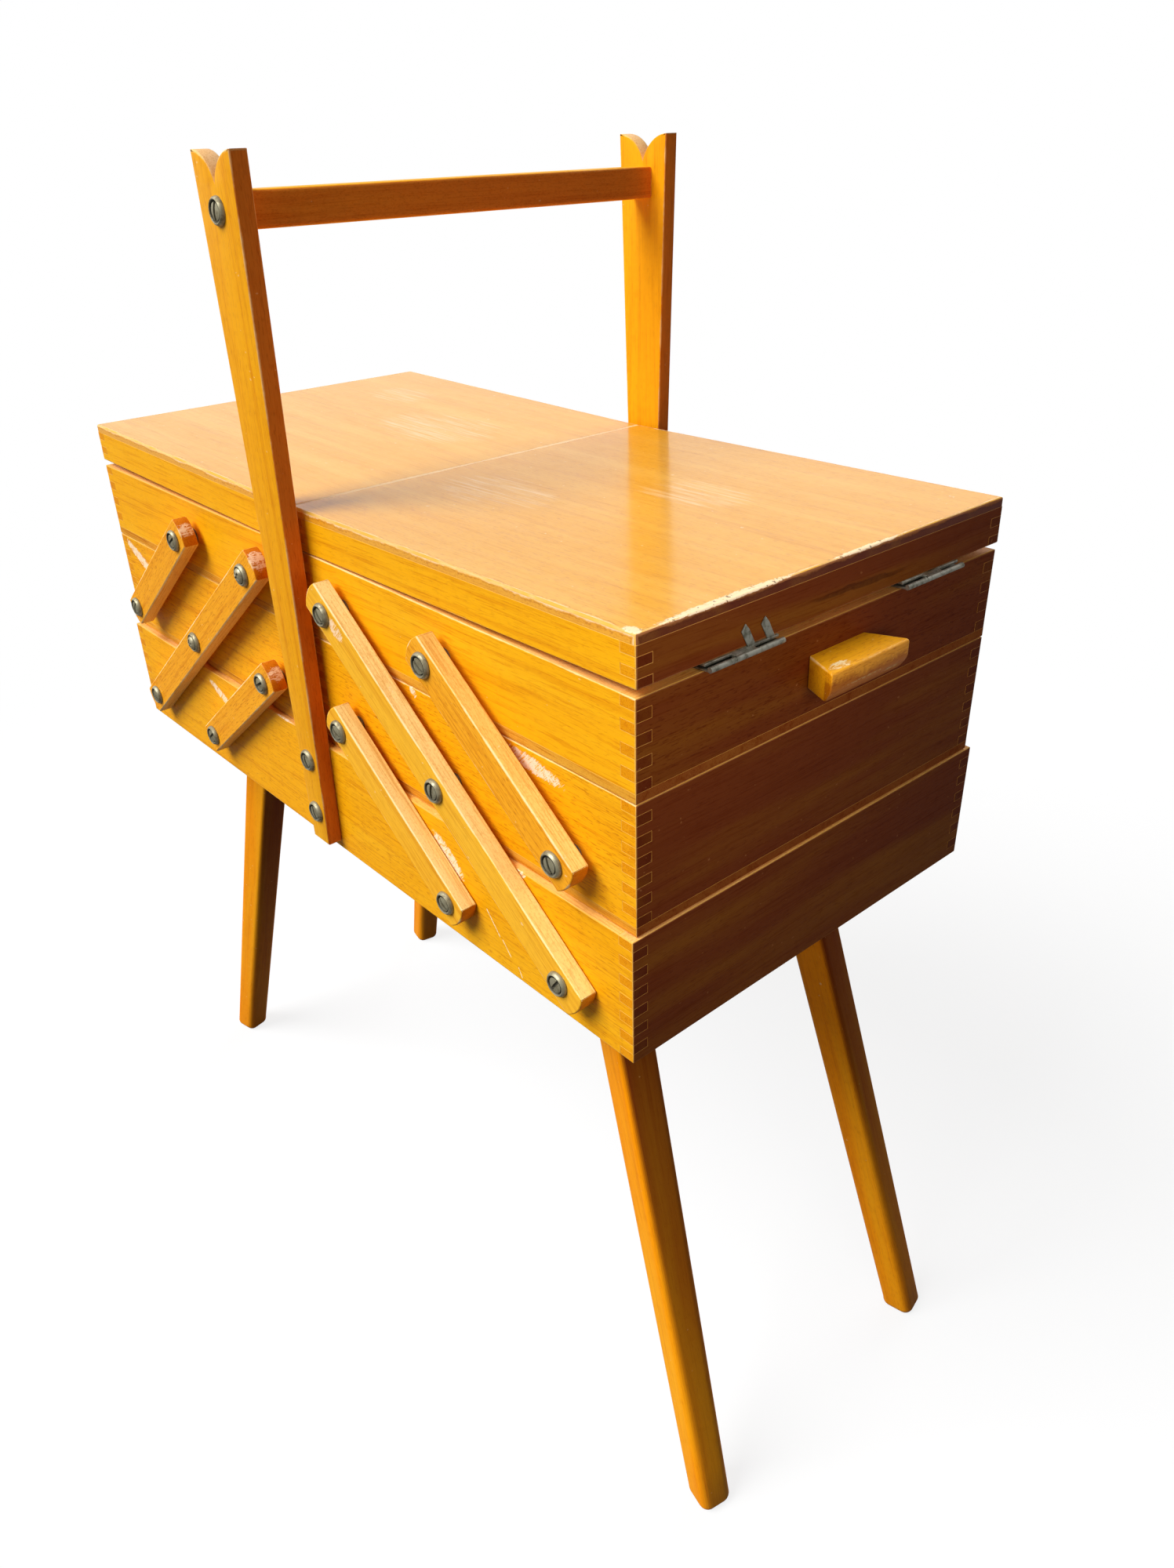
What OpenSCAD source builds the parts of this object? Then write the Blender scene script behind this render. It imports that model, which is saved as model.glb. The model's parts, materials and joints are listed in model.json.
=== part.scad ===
// Cantilever sewing carrier on four splayed legs.
// The origin is on the floor under the middle of the box, x runs along the length,
// y from front to back and z up. The front is at -y.
// Each half has a middle tray and a top tray with a lid. Three pairs of links carry the
// trays as parallelograms, so they stay level while they swing up, out and down again.

/* [Bottom box] */
// Outer length of the bottom box
box_len = 441; // [420:1:520]
// Outer depth of the bottom box, front to back
box_dep = 218; // [180:1:260]
// Height of the bottom box
box_h = 58; // [50:1:80]
// Height of the box's lower edge above the floor
stand_h = 292; // [200:1:420]
// Thickness of the boards of the box and the trays
board_t = 7.5; // [6:0.5:9]
// Thickness of the plywood bottoms
ply_t = 4; // [3:0.5:6]
// Height of one finger of the corner joints, before it is fitted to the board
finger_h = 4.3; // [3:0.1:9]

/* [Trays] */
// How far the trays stand in from the front and the back of the bottom box
tray_inset = 3; // [2:0.5:6]
// How far the trays stand in from the ends of the bottom box
end_inset = 1; // [0.5:0.5:5]
// Height of a middle tray with its bottom
mid_h = 55.6; // [45:0.1:70]
// Height of a top tray with its bottom
top_h = 39.6; // [34:0.1:60]
// Gap between the left and the right trays
centre_gap = 3; // [2:0.5:8]
// Clearance between one tier and the next
tier_gap = 0.4; // [0.2:0.1:1]

/* [Lids] */
// Thickness of a lid, rim and panel together
lid_h = 19.5; // [14:0.5:30]
// Thickness of the lid's panel
lid_panel_t = 4; // [3:0.5:6]
// How far the lid's outer end stands out over the tray
lid_over = 0.5; // [0:0.1:1.5]
// Gap between the two lids
lid_seam = 2.5; // [1:0.5:6]
// Gap between the tray and the lid at the hinges
lid_gap = 3.2; // [2.8:0.1:5]
// Clearance under the lid's inner end
lid_rest_gap = 0.3; // [0.2:0.1:0.6]

/* [Hinges] */
// Length of a hinge
hinge_len = 38; // [24:1:60]
// Distance from the middle of the depth to the middle of a hinge
hinge_y = 56; // [36:1:64]
// Thickness of the hinge's sheet
leaf_t = 1; // [0.6:0.1:1.1]
// Width of a hinge leaf on the wood
leaf_w = 7; // [5:0.5:8]
// Radius of the hinge's knuckles
knuckle_r = 1.9; // [1.7:0.1:2.2]
// Radius of the hinge's pin
pin_r = 0.9; // [0.6:0.1:1]
// Distance from the lid's end face to the hinge's axis
hinge_out = 3; // [2.9:0.1:4]
// Height of the points that are bent up from one leaf
prong_h = 8.6; // [5:0.1:12]
// Width of such a point
prong_w = 4; // [2.5:0.1:6]
// Thickness of such a point
prong_t = 0.6; // [0.4:0.1:0.65]
// Height of the tapered tip of such a point
prong_tip = 2.4; // [1:0.1:4]
// How far such a point leans to the front at its top
prong_lean = 3.9; // [0:0.1:5]
// Distance along the hinge from its middle to the first point
prong_off = 5.3; // [3:0.1:7]
// Distance along the hinge from one point to the next
prong_step = 10.3; // [7:0.1:11]

/* [Links] */
// Distance from the middle of the length to the innermost pivots
pivot_in = 36.5; // [30:0.5:44]
// Distance along the length from one pivot to the next
link_run = 75; // [62:0.5:78]
// Height of the pivots above the underside of their tray
pivot_up = 21.6; // [16:0.1:26]
// Width of a link
link_w = 16; // [12:0.5:20]
// Thickness of a link
link_t = 7.8; // [6:0.1:10]
// Length of a long link past its last pivot
long_end = 13.4; // [10:0.2:16]
// Length of a short link past its pivot
short_end = 10.6; // [9:0.2:14]
// Radius of a link's rounded ends
link_end_r = 16; // [12:1:40]
// Radius of a link's corners
link_corner_r = 3; // [1:0.5:5]

/* [Screws] */
// Radius of a screw's shank
shank_r = 2.2; // [1.6:0.1:2.6]
// Radius of a screw's head
head_r = 3.9; // [3.2:0.1:4.2]
// Height of the domed part of the head
dome_h = 1.1; // [0.6:0.1:1.6]
// Width of the slot in the head
slot_w = 0.9; // [0.6:0.1:1.4]
// Depth of the slot in the head
slot_h = 1; // [0.4:0.1:1.5]
// Height of the countersunk part of the head
head_cone_h = 0.9; // [0.6:0.1:1.1]
// Distance from a cup washer's crown down to the head's edge
head_drop = 0.2; // [0:0.1:0.4]
// Outer radius of a cup washer and of a spacer
washer_r = 6; // [5.4:0.1:7]
// Height of a cup washer
washer_h = 2; // [1.8:0.1:3]
// Height of a cup washer's straight outer edge
washer_edge_h = 0.5; // [0.3:0.1:1]
// Width of the slope round a cup washer
washer_slope_w = 0.7; // [0.4:0.1:1]
// Width of the outer half of a cup washer's crown
washer_crown_w = 0.5; // [0.3:0.1:0.6]
// Height of a cup washer's crown
washer_crown_h = 0.3; // [0.1:0.1:0.5]
// Thickness of the floor of the cup
washer_floor_t = 0.6; // [0.4:0.1:0.8]
// Wood left inside past the point of a screw
screw_stop = 1; // [0.5:0.1:3]

/* [Uprights and crossbar] */
// Thickness of an upright
upright_t = 7.7; // [6:0.1:10]
// Width of an upright at its lower end
upright_foot_w = 14.2; // [13:0.1:24]
// Width of an upright at its top
upright_top_w = 32.4; // [24:0.1:44]
// Height of the uprights' lower end above the box's lower edge
upright_up = 5; // [2:0.5:12]
// Height of the uprights' top above the lids' hinges
upright_over = 156; // [110:1:220]
// Depth of the notch in the top of an upright
notch_d = 11.5; // [6:0.5:14]
// Height of the crossbar
bar_h = 14; // [12:0.5:24]
// Width of the crossbar
bar_w = 13; // [12:0.5:20]
// Distance from the uprights' top down to the middle of the crossbar
bar_drop = 21; // [19:0.5:40]
// Radius of the crossbar's long edges
bar_edge_r = 1.5; // [0.5:0.5:4]
// Height of the lower screw in each upright above the box's lower edge
upright_screw_lo = 22; // [18:0.5:26]
// Distance from the lower to the upper screw in each upright
upright_screw_step = 29; // [16:0.5:29]
// Length of the crossbar's screws inside the crossbar
bar_screw_in = 29; // [20:1:50]

/* [Legs] */
// Distance from the end of the box to the middle of a leg, at the box's lower edge
leg_end_in = 64.5; // [50:0.5:90]
// Distance from the front of the box to the middle of a leg, at the box's lower edge
leg_side_in = 46; // [36:0.5:60]
// How far a foot stands out along the length
splay_x = 89; // [40:1:130]
// How far a foot stands out towards the front or the back
splay_y = 19; // [5:1:60]
// Width of a leg at its top
leg_top_w = 20; // [16:0.5:26]
// Width of a leg at its foot
leg_foot_w = 17; // [14:0.5:24]
// Radius of a leg's long edges
leg_edge_r = 3; // [1:0.5:5]
// Radius of the rounded foot
foot_r = 5; // [3:0.5:6.5]
// Depth of the flat worn on a foot
foot_flat = 0.6; // [0.3:0.1:1.2]
// Radius of the round tenon on a leg
tenon_r = 7; // [5:0.5:7.5]
// Thickness of a leg bearer
bearer_t = 18; // [12:1:30]
// Width of a leg bearer
bearer_w = 46; // [36:1:60]
// Length of a leg bearer past the middle of the legs
bearer_past = 15; // [12:1:30]
// Radius of a bearer screw
bearer_screw_r = 2; // [1.5:0.1:3]
// Radius of a bearer screw's head
bearer_head_r = 3.8; // [3.5:0.1:5]
// Height of a bearer screw's head
bearer_head_h = 1.6; // [1:0.1:2.4]

/* [End pulls] */
// Width of a pull where it meets the tray
pull_root_w = 34; // [24:1:50]
// Width of a pull at its front
pull_front_w = 48; // [30:1:60]
// How far a pull stands out
pull_out = 16; // [10:0.5:19]
// Height of a pull
pull_h = 13; // [10:0.5:16]
// Distance from the tray's rim down to the top of a pull
pull_drop = 12; // [11:0.5:16]
// Height of a pull's front face above its hollow
pull_lip = 5; // [3:0.5:7]
// Depth of the hollow under a pull's front face
pull_hollow = 3.5; // [1:0.5:5]

/* [Clearances] */
// Radial clearance of a screw in wood
screw_fit = 0.05; // [0.02:0.01:0.1]
// Radial clearance of a link that turns on a screw
run_fit = 0.08; // [0.04:0.01:0.1]
// Radial clearance at the pivot that closes each parallelogram
closing_fit = 0.3; // [0.2:0.05:0.5]
// Gap between a link and the face of the box
link_gap = 0.4; // [0.3:0.1:1]
// Gap between a link and each washer
link_play = 0.2; // [0.1:0.05:0.3]
// Radial clearance of the hinge's pin and of the legs' tenons
pin_fit = 0.06; // [0.03:0.01:0.1]
// Gap between the knuckles of a hinge
knuckle_gap = 0.3; // [0.2:0.1:0.6]
// Gap between the lid's end face and the hinge's points
prong_clear = 0.1; // [0.05:0.01:0.1]
// Gap round a screw's head at the crown of its washer
head_gap = 0.15; // [0.1:0.05:0.3]

/* [Hidden] */
$fn = 48;
over = 1;
slice = 0.2;
FRONT = -1;
BACK = 1;

// Levels of the tiers
box_top = stand_h + box_h;
mid_z = box_top + tier_gap;
top_z = mid_z + mid_h + tier_gap;
rim_z = top_z + top_h;

// Plan of the trays on the right-hand side
tray_dep = box_dep - 2 * tray_inset;
tray_x0 = centre_gap / 2;
tray_x1 = box_len / 2 - end_inset;

// Pivots of the parallelograms on the right-hand side
link_rise = mid_h + tier_gap;
mid_pivot_z = mid_z + pivot_up;
box_pivot_z = mid_pivot_z - link_rise;
top_pivot_z = mid_pivot_z + link_rise;
pivot_1 = pivot_in;
pivot_2 = pivot_in + link_run;
pivot_3 = pivot_in + 2 * link_run;
link_step = norm([link_run, link_rise]);
link_lean = atan2(link_rise, link_run);

// Faces that the links and the screw heads lie between
box_face = box_dep / 2;
tray_face = tray_dep / 2;
link_in = box_face + link_gap;
link_out = link_in + link_t;
spacer_t = link_in - tray_face - link_play;

// Hinge axis and lid
lid_x1 = tray_x1 + lid_over;
axis_x = lid_x1 + hinge_out;
axis_z = rim_z + lid_gap / 2;
lid_reach = axis_x - lid_seam / 2;
lid_tilt = asin((lid_gap - lid_rest_gap) / lid_reach);
knuckle_len = hinge_len / 3;
leaf_end = tray_x1 - leaf_w;

// Uprights
upright_z0 = stand_h + upright_up;
upright_z1 = axis_z + upright_over;
bar_z = upright_z1 - bar_drop;
lobe_r = (pow(upright_top_w / 2, 2) + pow(notch_d, 2)) / (2 * notch_d);

// Legs, as seen at the box's lower edge and at the floor
leg_x = box_len / 2 - leg_end_in;
leg_y = box_dep / 2 - leg_side_in;
splay = norm([splay_x, splay_y]);
splay_dir = atan2(splay_y, splay_x);
leg_tilt = atan2(splay, stand_h);
bearer_z = stand_h - bearer_t;
bearer_x = leg_x + splay_x * bearer_t / stand_h;
bearer_y = leg_y + splay_y * bearer_t / stand_h;
bearer_screw_len = ply_t + bearer_t - screw_stop;

// Everything on the right is drawn once, and the left is its mirror image.
module on_right() { children(); }
module on_left() { mirror([1, 0, 0]) children(); }

// The front is drawn as the mirror image of the back.
module at_face(face) {
    if (face == FRONT) mirror([0, 1, 0]) children();
    else children();
}

// Puts a child that points along +z so that it points out of the back face.
module facing_out(x, y, z) {
    translate([x, y, z]) rotate([-90, 0, 0]) children();
}

// A round hole from the outer face of a board to the point of its screw.
module screw_hole(x, face_y, z, depth) {
    facing_out(x, face_y - depth, z) cylinder(r = shank_r + screw_fit, h = depth + over);
}

// Corner joints: fingers are counted from the top, and the end boards have the even ones.
function finger_count(h) = max(3, round(h / finger_h));

// A long board at the back, from x0 to x1, with its outer face at y.
module side_board(x0, x1, y, z, h, t) {
    difference() {
        translate([x0, y - t, z]) cube([x1 - x0, t, h]);
        for (x = [x0 - over, x1 - t]) translate([x, y - t - over, z]) finger_cut(h, t);
    }
}

// What the end board's fingers take out of a side board.
module finger_cut(h, t) {
    n = finger_count(h);
    for (i = [0:2:n - 1]) {
        cap = (i == 0 ? over : 0);
        low = (i == n - 1 ? over : 0);
        translate([0, 0, h - (i + 1) * h / n - low])
            cube([t + over, t + 2 * over, h / n + low + cap]);
    }
}

// A short board with its outer face at x1, between the outer faces at y = -dep/2 and dep/2.
module end_board(x1, dep, z, h, t) {
    n = finger_count(h);
    difference() {
        translate([x1 - t, -dep / 2, z]) cube([t, dep, h]);
        for (side = [FRONT, BACK], i = [1:2:n - 1]) {
            low = (i == n - 1 ? over : 0);
            translate([x1 - t - over, side * (dep / 2 - t / 2 + over / 2) - (t + over) / 2,
                       z + h - (i + 1) * h / n - low])
                cube([t + 2 * over, t + over, h / n + low]);
        }
    }
}

// Fasteners, drawn pointing out along +z with the seat of the washer at z = 0.
module cup_washer() {
    bore = shank_r + screw_fit;
    crown_z = washer_h - washer_crown_h;
    rotate_extrude() polygon([
        [bore, 0], [washer_r, 0], [washer_r, washer_edge_h],
        [washer_r - washer_slope_w, crown_z], [washer_r - washer_slope_w - washer_crown_w, washer_h],
        [head_r + head_gap, crown_z], [bore, washer_floor_t]
    ]);
}

module slotted_screw(depth, turn) {
    dome_z = washer_h - head_drop;
    dome_r = (head_r * head_r + dome_h * dome_h) / (2 * dome_h);
    difference() {
        union() {
            translate([0, 0, -depth]) cylinder(r = shank_r, h = depth + dome_z);
            translate([0, 0, dome_z - head_cone_h])
                cylinder(r1 = shank_r, r2 = head_r, h = head_cone_h);
            intersection() {
                translate([0, 0, dome_z]) cylinder(r = head_r, h = dome_h + over);
                translate([0, 0, dome_z + dome_h - dome_r]) sphere(r = dome_r);
            }
        }
        rotate([0, 0, turn]) translate([-head_r - over, -slot_w / 2, dome_z + dome_h - slot_h])
            cube([2 * (head_r + over), slot_w, slot_h + over]);
    }
}

module spacer() {
    difference() {
        cylinder(r = washer_r, h = spacer_t);
        translate([0, 0, -over]) cylinder(r = shank_r + screw_fit, h = spacer_t + 2 * over);
    }
}

// A pivot on a board with its outer face at face_y: the screw ends inside the board.
module pivot_screw(x, z, face_y, turn) {
    seat_y = link_out + link_play;
    facing_out(x, seat_y, z) cup_washer();
    facing_out(x, seat_y, z) slotted_screw(seat_y - face_y + board_t - screw_stop, turn);
}

module tray_pivot(x, z, turn) {
    pivot_screw(x, z, tray_face, turn);
    facing_out(x, tray_face, z) spacer();
}

// Bottom box
module box_side_board(face) {
    color("goldenrod") at_face(face) difference() {
        side_board(-box_len / 2, box_len / 2, box_face, stand_h, box_h, board_t);
        for (x = [pivot_2, pivot_3], side = [-1, 1])
            screw_hole(side * x, box_face, box_pivot_z, board_t - screw_stop);
        for (z = upright_screw_levels())
            screw_hole(0, box_face, z, board_t - screw_stop);
    }
}

module box_end() {
    color("darkgoldenrod") end_board(box_len / 2, box_dep, stand_h, box_h, board_t);
}

module box_bottom() {
    wide = box_len - 2 * board_t;
    deep = box_dep - 2 * board_t;
    color("burlywood") difference() {
        translate([-wide / 2, -deep / 2, stand_h]) cube([wide, deep, ply_t]);
        bearer_screw_places() translate([0, 0, -over])
            cylinder(r = bearer_screw_r + screw_fit, h = ply_t + 2 * over);
    }
}

// Legs and their bearers
module leg_axis_cylinder(r, from_z, to_z) {
    reach = (stand_h + 2 * r) / cos(leg_tilt);
    intersection() {
        translate([leg_x + splay_x, leg_y + splay_y, 0])
            rotate([0, 0, splay_dir]) rotate([0, -leg_tilt, 0]) cylinder(r = r, h = reach);
        translate([0, 0, from_z])
            cube([box_len + splay_x, box_dep + splay_y, to_z - from_z]);
    }
}

module leg_corners(w, inset) {
    half_x = w / 2 / cos(leg_tilt) - inset;
    half_y = w / 2 - inset;
    rotate([0, 0, splay_dir]) for (i = [-1, 1], j = [-1, 1])
        translate([i * half_x, j * half_y, 0]) children();
}

module leg_blank() {
    hull() {
        translate([bearer_x, bearer_y, bearer_z - slice])
            leg_corners(leg_top_w, leg_edge_r) cylinder(r = leg_edge_r, h = slice, $fn = 24);
        translate([leg_x + splay_x, leg_y + splay_y, foot_r - foot_flat])
            leg_corners(leg_foot_w, foot_r) sphere(r = foot_r, $fn = 24);
    }
}

module leg() {
    color("peru") {
        difference() {
            leg_blank();
            translate([leg_x, 0, -foot_r])
                cube([box_len, box_dep, foot_r]);
        }
        leg_axis_cylinder(tenon_r, bearer_z, stand_h);
    }
}

module leg_at(end, face) {
    mirror([end == -1 ? 1 : 0, 0, 0]) at_face(face) leg();
}

module bearer_screw_places() {
    for (end = [-1, 1], y = [-1, 0, 1])
        translate([end * bearer_x, y * bearer_y / 2, stand_h]) children();
}

module leg_bearers() {
    length = 2 * (bearer_y + bearer_past);
    color("tan") for (end = [-1, 1]) difference() {
        translate([end * bearer_x - bearer_w / 2, -length / 2, bearer_z])
            cube([bearer_w, length, bearer_t]);
        for (face = [FRONT, BACK]) mirror([end == -1 ? 1 : 0, 0, 0]) at_face(face)
            leg_axis_cylinder(tenon_r + pin_fit, bearer_z - over, stand_h + over);
        bearer_screw_places() translate([0, 0, ply_t - bearer_screw_len - screw_fit])
            cylinder(r = bearer_screw_r + screw_fit, h = bearer_screw_len);
    }
}

module bearer_screws() {
    color("darkgray") bearer_screw_places() {
        translate([0, 0, ply_t - bearer_screw_len])
            cylinder(r = bearer_screw_r, h = bearer_screw_len);
        translate([0, 0, ply_t])
            cylinder(r1 = bearer_head_r, r2 = bearer_screw_r, h = bearer_head_h);
    }
}

// Uprights: a tapered board whose top is two round lobes with a notch between them
module upright_outline() {
    foot = upright_foot_w / 2;
    top = upright_top_w / 2;
    lobe_z = upright_z1 - lobe_r;
    intersection() {
        polygon([[-foot, upright_z0], [foot, upright_z0], [top, upright_z1], [-top, upright_z1]]);
        union() {
            translate([-top, upright_z0]) square([2 * top, lobe_z - upright_z0]);
            for (side = [-1, 1]) translate([side * top, lobe_z]) circle(r = lobe_r, $fn = 96);
        }
    }
}

function upright_screw_levels() =
    [stand_h + upright_screw_lo, stand_h + upright_screw_lo + upright_screw_step];

module upright(face) {
    color("orange") at_face(face) difference() {
        translate([0, box_face + upright_t, 0]) rotate([90, 0, 0])
            linear_extrude(height = upright_t) upright_outline();
        for (z = concat(upright_screw_levels(), [bar_z]))
            facing_out(0, box_face - over, z)
                cylinder(r = shank_r + screw_fit, h = upright_t + 2 * over);
    }
}

module crossbar() {
    color("sienna") difference() {
        translate([0, box_face, bar_z]) rotate([90, 0, 0])
            linear_extrude(height = box_dep) rounded_section(bar_w, bar_h, bar_edge_r);
        for (face = [FRONT, BACK]) at_face(face) screw_hole(0, box_face, bar_z, bar_screw_in);
    }
}

// A rectangle with round corners, made of squares and circles
module rounded_section(w, h, r) {
    square([w, h - 2 * r], center = true);
    square([w - 2 * r, h], center = true);
    for (i = [-1, 1], j = [-1, 1])
        translate([i * (w / 2 - r), j * (h / 2 - r)]) circle(r = r, $fn = 32);
}

module upright_screws() {
    seat_y = box_face + upright_t;
    color("silver") for (face = [FRONT, BACK]) at_face(face) {
        for (z = upright_screw_levels()) facing_out(0, seat_y, z) {
            cup_washer();
            slotted_screw(upright_t + board_t - screw_stop, 70);
        }
        facing_out(0, seat_y, bar_z) {
            cup_washer();
            slotted_screw(upright_t + bar_screw_in, 100);
        }
    }
}

module box_pivot_screws() {
    color("silver") for (end = [0, 1], face = [FRONT, BACK])
        mirror([end, 0, 0]) at_face(face) {
            pivot_screw(pivot_2, box_pivot_z, box_face, 40);
            pivot_screw(pivot_3, box_pivot_z, box_face, 125);
        }
}

// Trays: a rim of four boards on a plywood bottom
module tray_side(face, z, h, pivots, pivot_z) {
    color("orange") at_face(face) difference() {
        side_board(tray_x0, tray_x1, tray_face, z + ply_t, h - ply_t, board_t);
        for (x = pivots) screw_hole(x, tray_face, pivot_z, board_t - screw_stop);
    }
}

module tray_outer_end(z, h) {
    color("saddlebrown") end_board(tray_x1, tray_dep, z + ply_t, h - ply_t, board_t);
}

module tray_inner_end(z, h) {
    color("saddlebrown") end_board(tray_x0 + board_t, tray_dep, z + ply_t, h - ply_t, board_t);
}

module tray_bottom(z) {
    color("wheat") translate([tray_x0, -tray_dep / 2, z])
        cube([tray_x1 - tray_x0, tray_dep, ply_t]);
}

module mid_pivot_screws() {
    color("silver") for (face = [FRONT, BACK]) at_face(face) {
        tray_pivot(pivot_1, mid_pivot_z, 30);
        tray_pivot(pivot_2, mid_pivot_z, 95);
        tray_pivot(pivot_3, mid_pivot_z, 65);
    }
}

module top_pivot_screws() {
    color("silver") for (face = [FRONT, BACK]) at_face(face) {
        tray_pivot(pivot_1, top_pivot_z, 50);
        tray_pivot(pivot_2, top_pivot_z, 35);
    }
}

// Pull: wider at the front than at the tray, and hollowed under its front face
module end_pull() {
    top = rim_z - pull_drop;
    root = pull_root_w / 2;
    front = pull_front_w / 2;
    fall = pull_h - pull_lip;
    hollow_r = (fall * fall + pull_hollow * pull_hollow) / (2 * pull_hollow);
    color("orange") difference() {
        translate([tray_x1, 0, top - pull_h]) linear_extrude(height = pull_h)
            polygon([[0, -root], [pull_out, -front], [pull_out, front], [0, root]]);
        translate([tray_x1 + pull_out + hollow_r - pull_hollow, 0, top - pull_h])
            rotate([90, 0, 0]) cylinder(r = hollow_r, h = 2 * front, center = true, $fn = 96);
    }
}

// Hinges: the tray's leaf has the two outer knuckles, the lid's leaf the middle one
module knuckle(part) {
    short = knuckle_len - knuckle_gap;
    rotate([90, 0, 0]) cylinder(r = knuckle_r, h = part == 0 ? short : knuckle_len, center = true);
}

module hinge_leaf(parts, level) {
    notch_r = knuckle_r + knuckle_gap;
    wide = axis_x - leaf_end;
    difference() {
        union() {
            translate([-wide, -hinge_len / 2, level]) cube([wide, hinge_len, leaf_t]);
            for (part = parts) translate([0, part * knuckle_len, 0]) knuckle(part);
        }
        for (part = [-1, 0, 1]) if (len(search(part, parts)) == 0)
            translate([-notch_r, (part - 0.5) * knuckle_len - (part == 0 ? 0 : over), -notch_r])
                cube([notch_r + over, knuckle_len + (part == 0 ? 0 : over), 2 * notch_r]);
        rotate([90, 0, 0])
            cylinder(r = pin_r + pin_fit, h = hinge_len + 2 * over, center = true);
    }
}

module at_hinges() {
    for (side = [-1, 1]) translate([axis_x, side * hinge_y, axis_z]) children();
}

module hinge_tray_leaves() {
    color("dimgray") at_hinges() hinge_leaf([-1, 1], -lid_gap / 2);
}

module hinge_pins() {
    color("gray") at_hinges() rotate([90, 0, 0])
        cylinder(r = pin_r, h = hinge_len, center = true);
}

// The lid's own level frame has its origin on the hinge axis.
module in_lid() {
    translate([axis_x, 0, axis_z]) rotate([0, -lid_tilt, 0]) children();
}

module prong() {
    neck = prong_h - prong_tip;
    translate([prong_clear - hinge_out, 0, lid_gap / 2 - leaf_t]) rotate([90, 0, 90])
        linear_extrude(height = prong_t) polygon([
            [-prong_w / 2, 0], [prong_w / 2, 0], [prong_w / 2 - prong_lean, neck + leaf_t],
            [-prong_lean, prong_h + leaf_t], [-prong_w / 2 - prong_lean, neck + leaf_t]
        ]);
}

module hinge_lid_leaves(pronged) {
    color("dimgray") in_lid() {
        for (side = [-1, 1]) translate([0, side * hinge_y, 0])
            hinge_leaf([0], lid_gap / 2 - leaf_t);
        if (pronged) for (step = [0, 1])
            translate([0, prong_off - hinge_y + step * prong_step, 0]) prong();
    }
}

// Lids: a finger-jointed rim under a plywood panel
module lid_side_rails() {
    color("orange") in_lid() for (face = [FRONT, BACK]) at_face(face)
        side_board(-lid_reach, -hinge_out, tray_face, lid_gap / 2, lid_h - lid_panel_t, board_t);
}

module lid_end_rails() {
    color("saddlebrown") in_lid() for (x = [-hinge_out, board_t - lid_reach])
        end_board(x, tray_dep, lid_gap / 2, lid_h - lid_panel_t, board_t);
}

module lid_panel() {
    color("sandybrown") in_lid()
        translate([-lid_reach, -tray_dep / 2, lid_gap / 2 + lid_h - lid_panel_t])
            cube([lid_reach - hinge_out, tray_dep, lid_panel_t]);
}

// Links: a bar with rounded ends from its lower pivot up to the upper one
module link_outline(length) {
    middle = length / 2 - link_end_r;
    intersection() {
        rounded_section(length, link_w, link_corner_r);
        union() {
            square([2 * middle, link_w], center = true);
            for (end = [-1, 1]) translate([end * middle, 0]) circle(r = link_end_r, $fn = 96);
        }
    }
}

module link(x, z, steps, end, fits) {
    length = steps * link_step + 2 * end;
    difference() {
        facing_out(x, link_in, z) rotate([0, 0, 180 + link_lean])
            translate([length / 2 - end, 0]) linear_extrude(height = link_t) link_outline(length);
        for (i = [0:steps])
            facing_out(x - i * link_run, link_in - over, z + i * link_rise)
                cylinder(r = shank_r + fits[i], h = link_t + 2 * over);
    }
}

module long_links() {
    color("orange") for (face = [FRONT, BACK]) at_face(face)
        link(pivot_3, box_pivot_z, 2, long_end, [run_fit, run_fit, run_fit]);
}

module upper_links() {
    color("orange") for (face = [FRONT, BACK]) at_face(face)
        link(pivot_3, mid_pivot_z, 1, short_end, [run_fit, closing_fit]);
}

module lower_links() {
    color("orange") for (face = [FRONT, BACK]) at_face(face)
        link(pivot_2, box_pivot_z, 1, short_end, [run_fit, closing_fit]);
}

// Pivots on the boards of each tray
mid_pivots = [pivot_1, pivot_2, pivot_3];
top_pivots = [pivot_1, pivot_2];

box_side_board(FRONT);  // box_front_board
box_side_board(BACK);  // box_back_board
on_left() box_end();  // box_left_end
on_right() box_end();  // box_right_end
box_bottom();
leg_bearers();
leg_at(-1, FRONT);  // front_left_leg
leg_at(1, FRONT);  // front_right_leg
leg_at(-1, BACK);  // rear_left_leg
leg_at(1, BACK);  // rear_right_leg
upright(FRONT);  // front_upright
upright(BACK);  // rear_upright
crossbar();
upright_screws();
bearer_screws();
box_pivot_screws();

on_right() tray_side(FRONT, mid_z, mid_h, mid_pivots, mid_pivot_z);  // right_mid_front_board
on_right() tray_side(BACK, mid_z, mid_h, mid_pivots, mid_pivot_z);  // right_mid_back_board
on_right() tray_inner_end(mid_z, mid_h);  // right_mid_inner_end
on_right() tray_outer_end(mid_z, mid_h);  // right_mid_outer_end
on_right() tray_bottom(mid_z);  // right_mid_bottom
on_right() mid_pivot_screws();  // right_mid_pivot_screws
on_right() tray_side(FRONT, top_z, top_h, top_pivots, top_pivot_z);  // right_top_front_board
on_right() tray_side(BACK, top_z, top_h, top_pivots, top_pivot_z);  // right_top_back_board
on_right() tray_inner_end(top_z, top_h);  // right_top_inner_end
on_right() tray_outer_end(top_z, top_h);  // right_top_outer_end
on_right() tray_bottom(top_z);  // right_top_bottom
on_right() top_pivot_screws();  // right_top_pivot_screws
on_right() end_pull();  // right_end_pull
on_right() hinge_tray_leaves();  // right_hinge_tray_leaves
on_right() hinge_pins();  // right_hinge_pins
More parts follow.
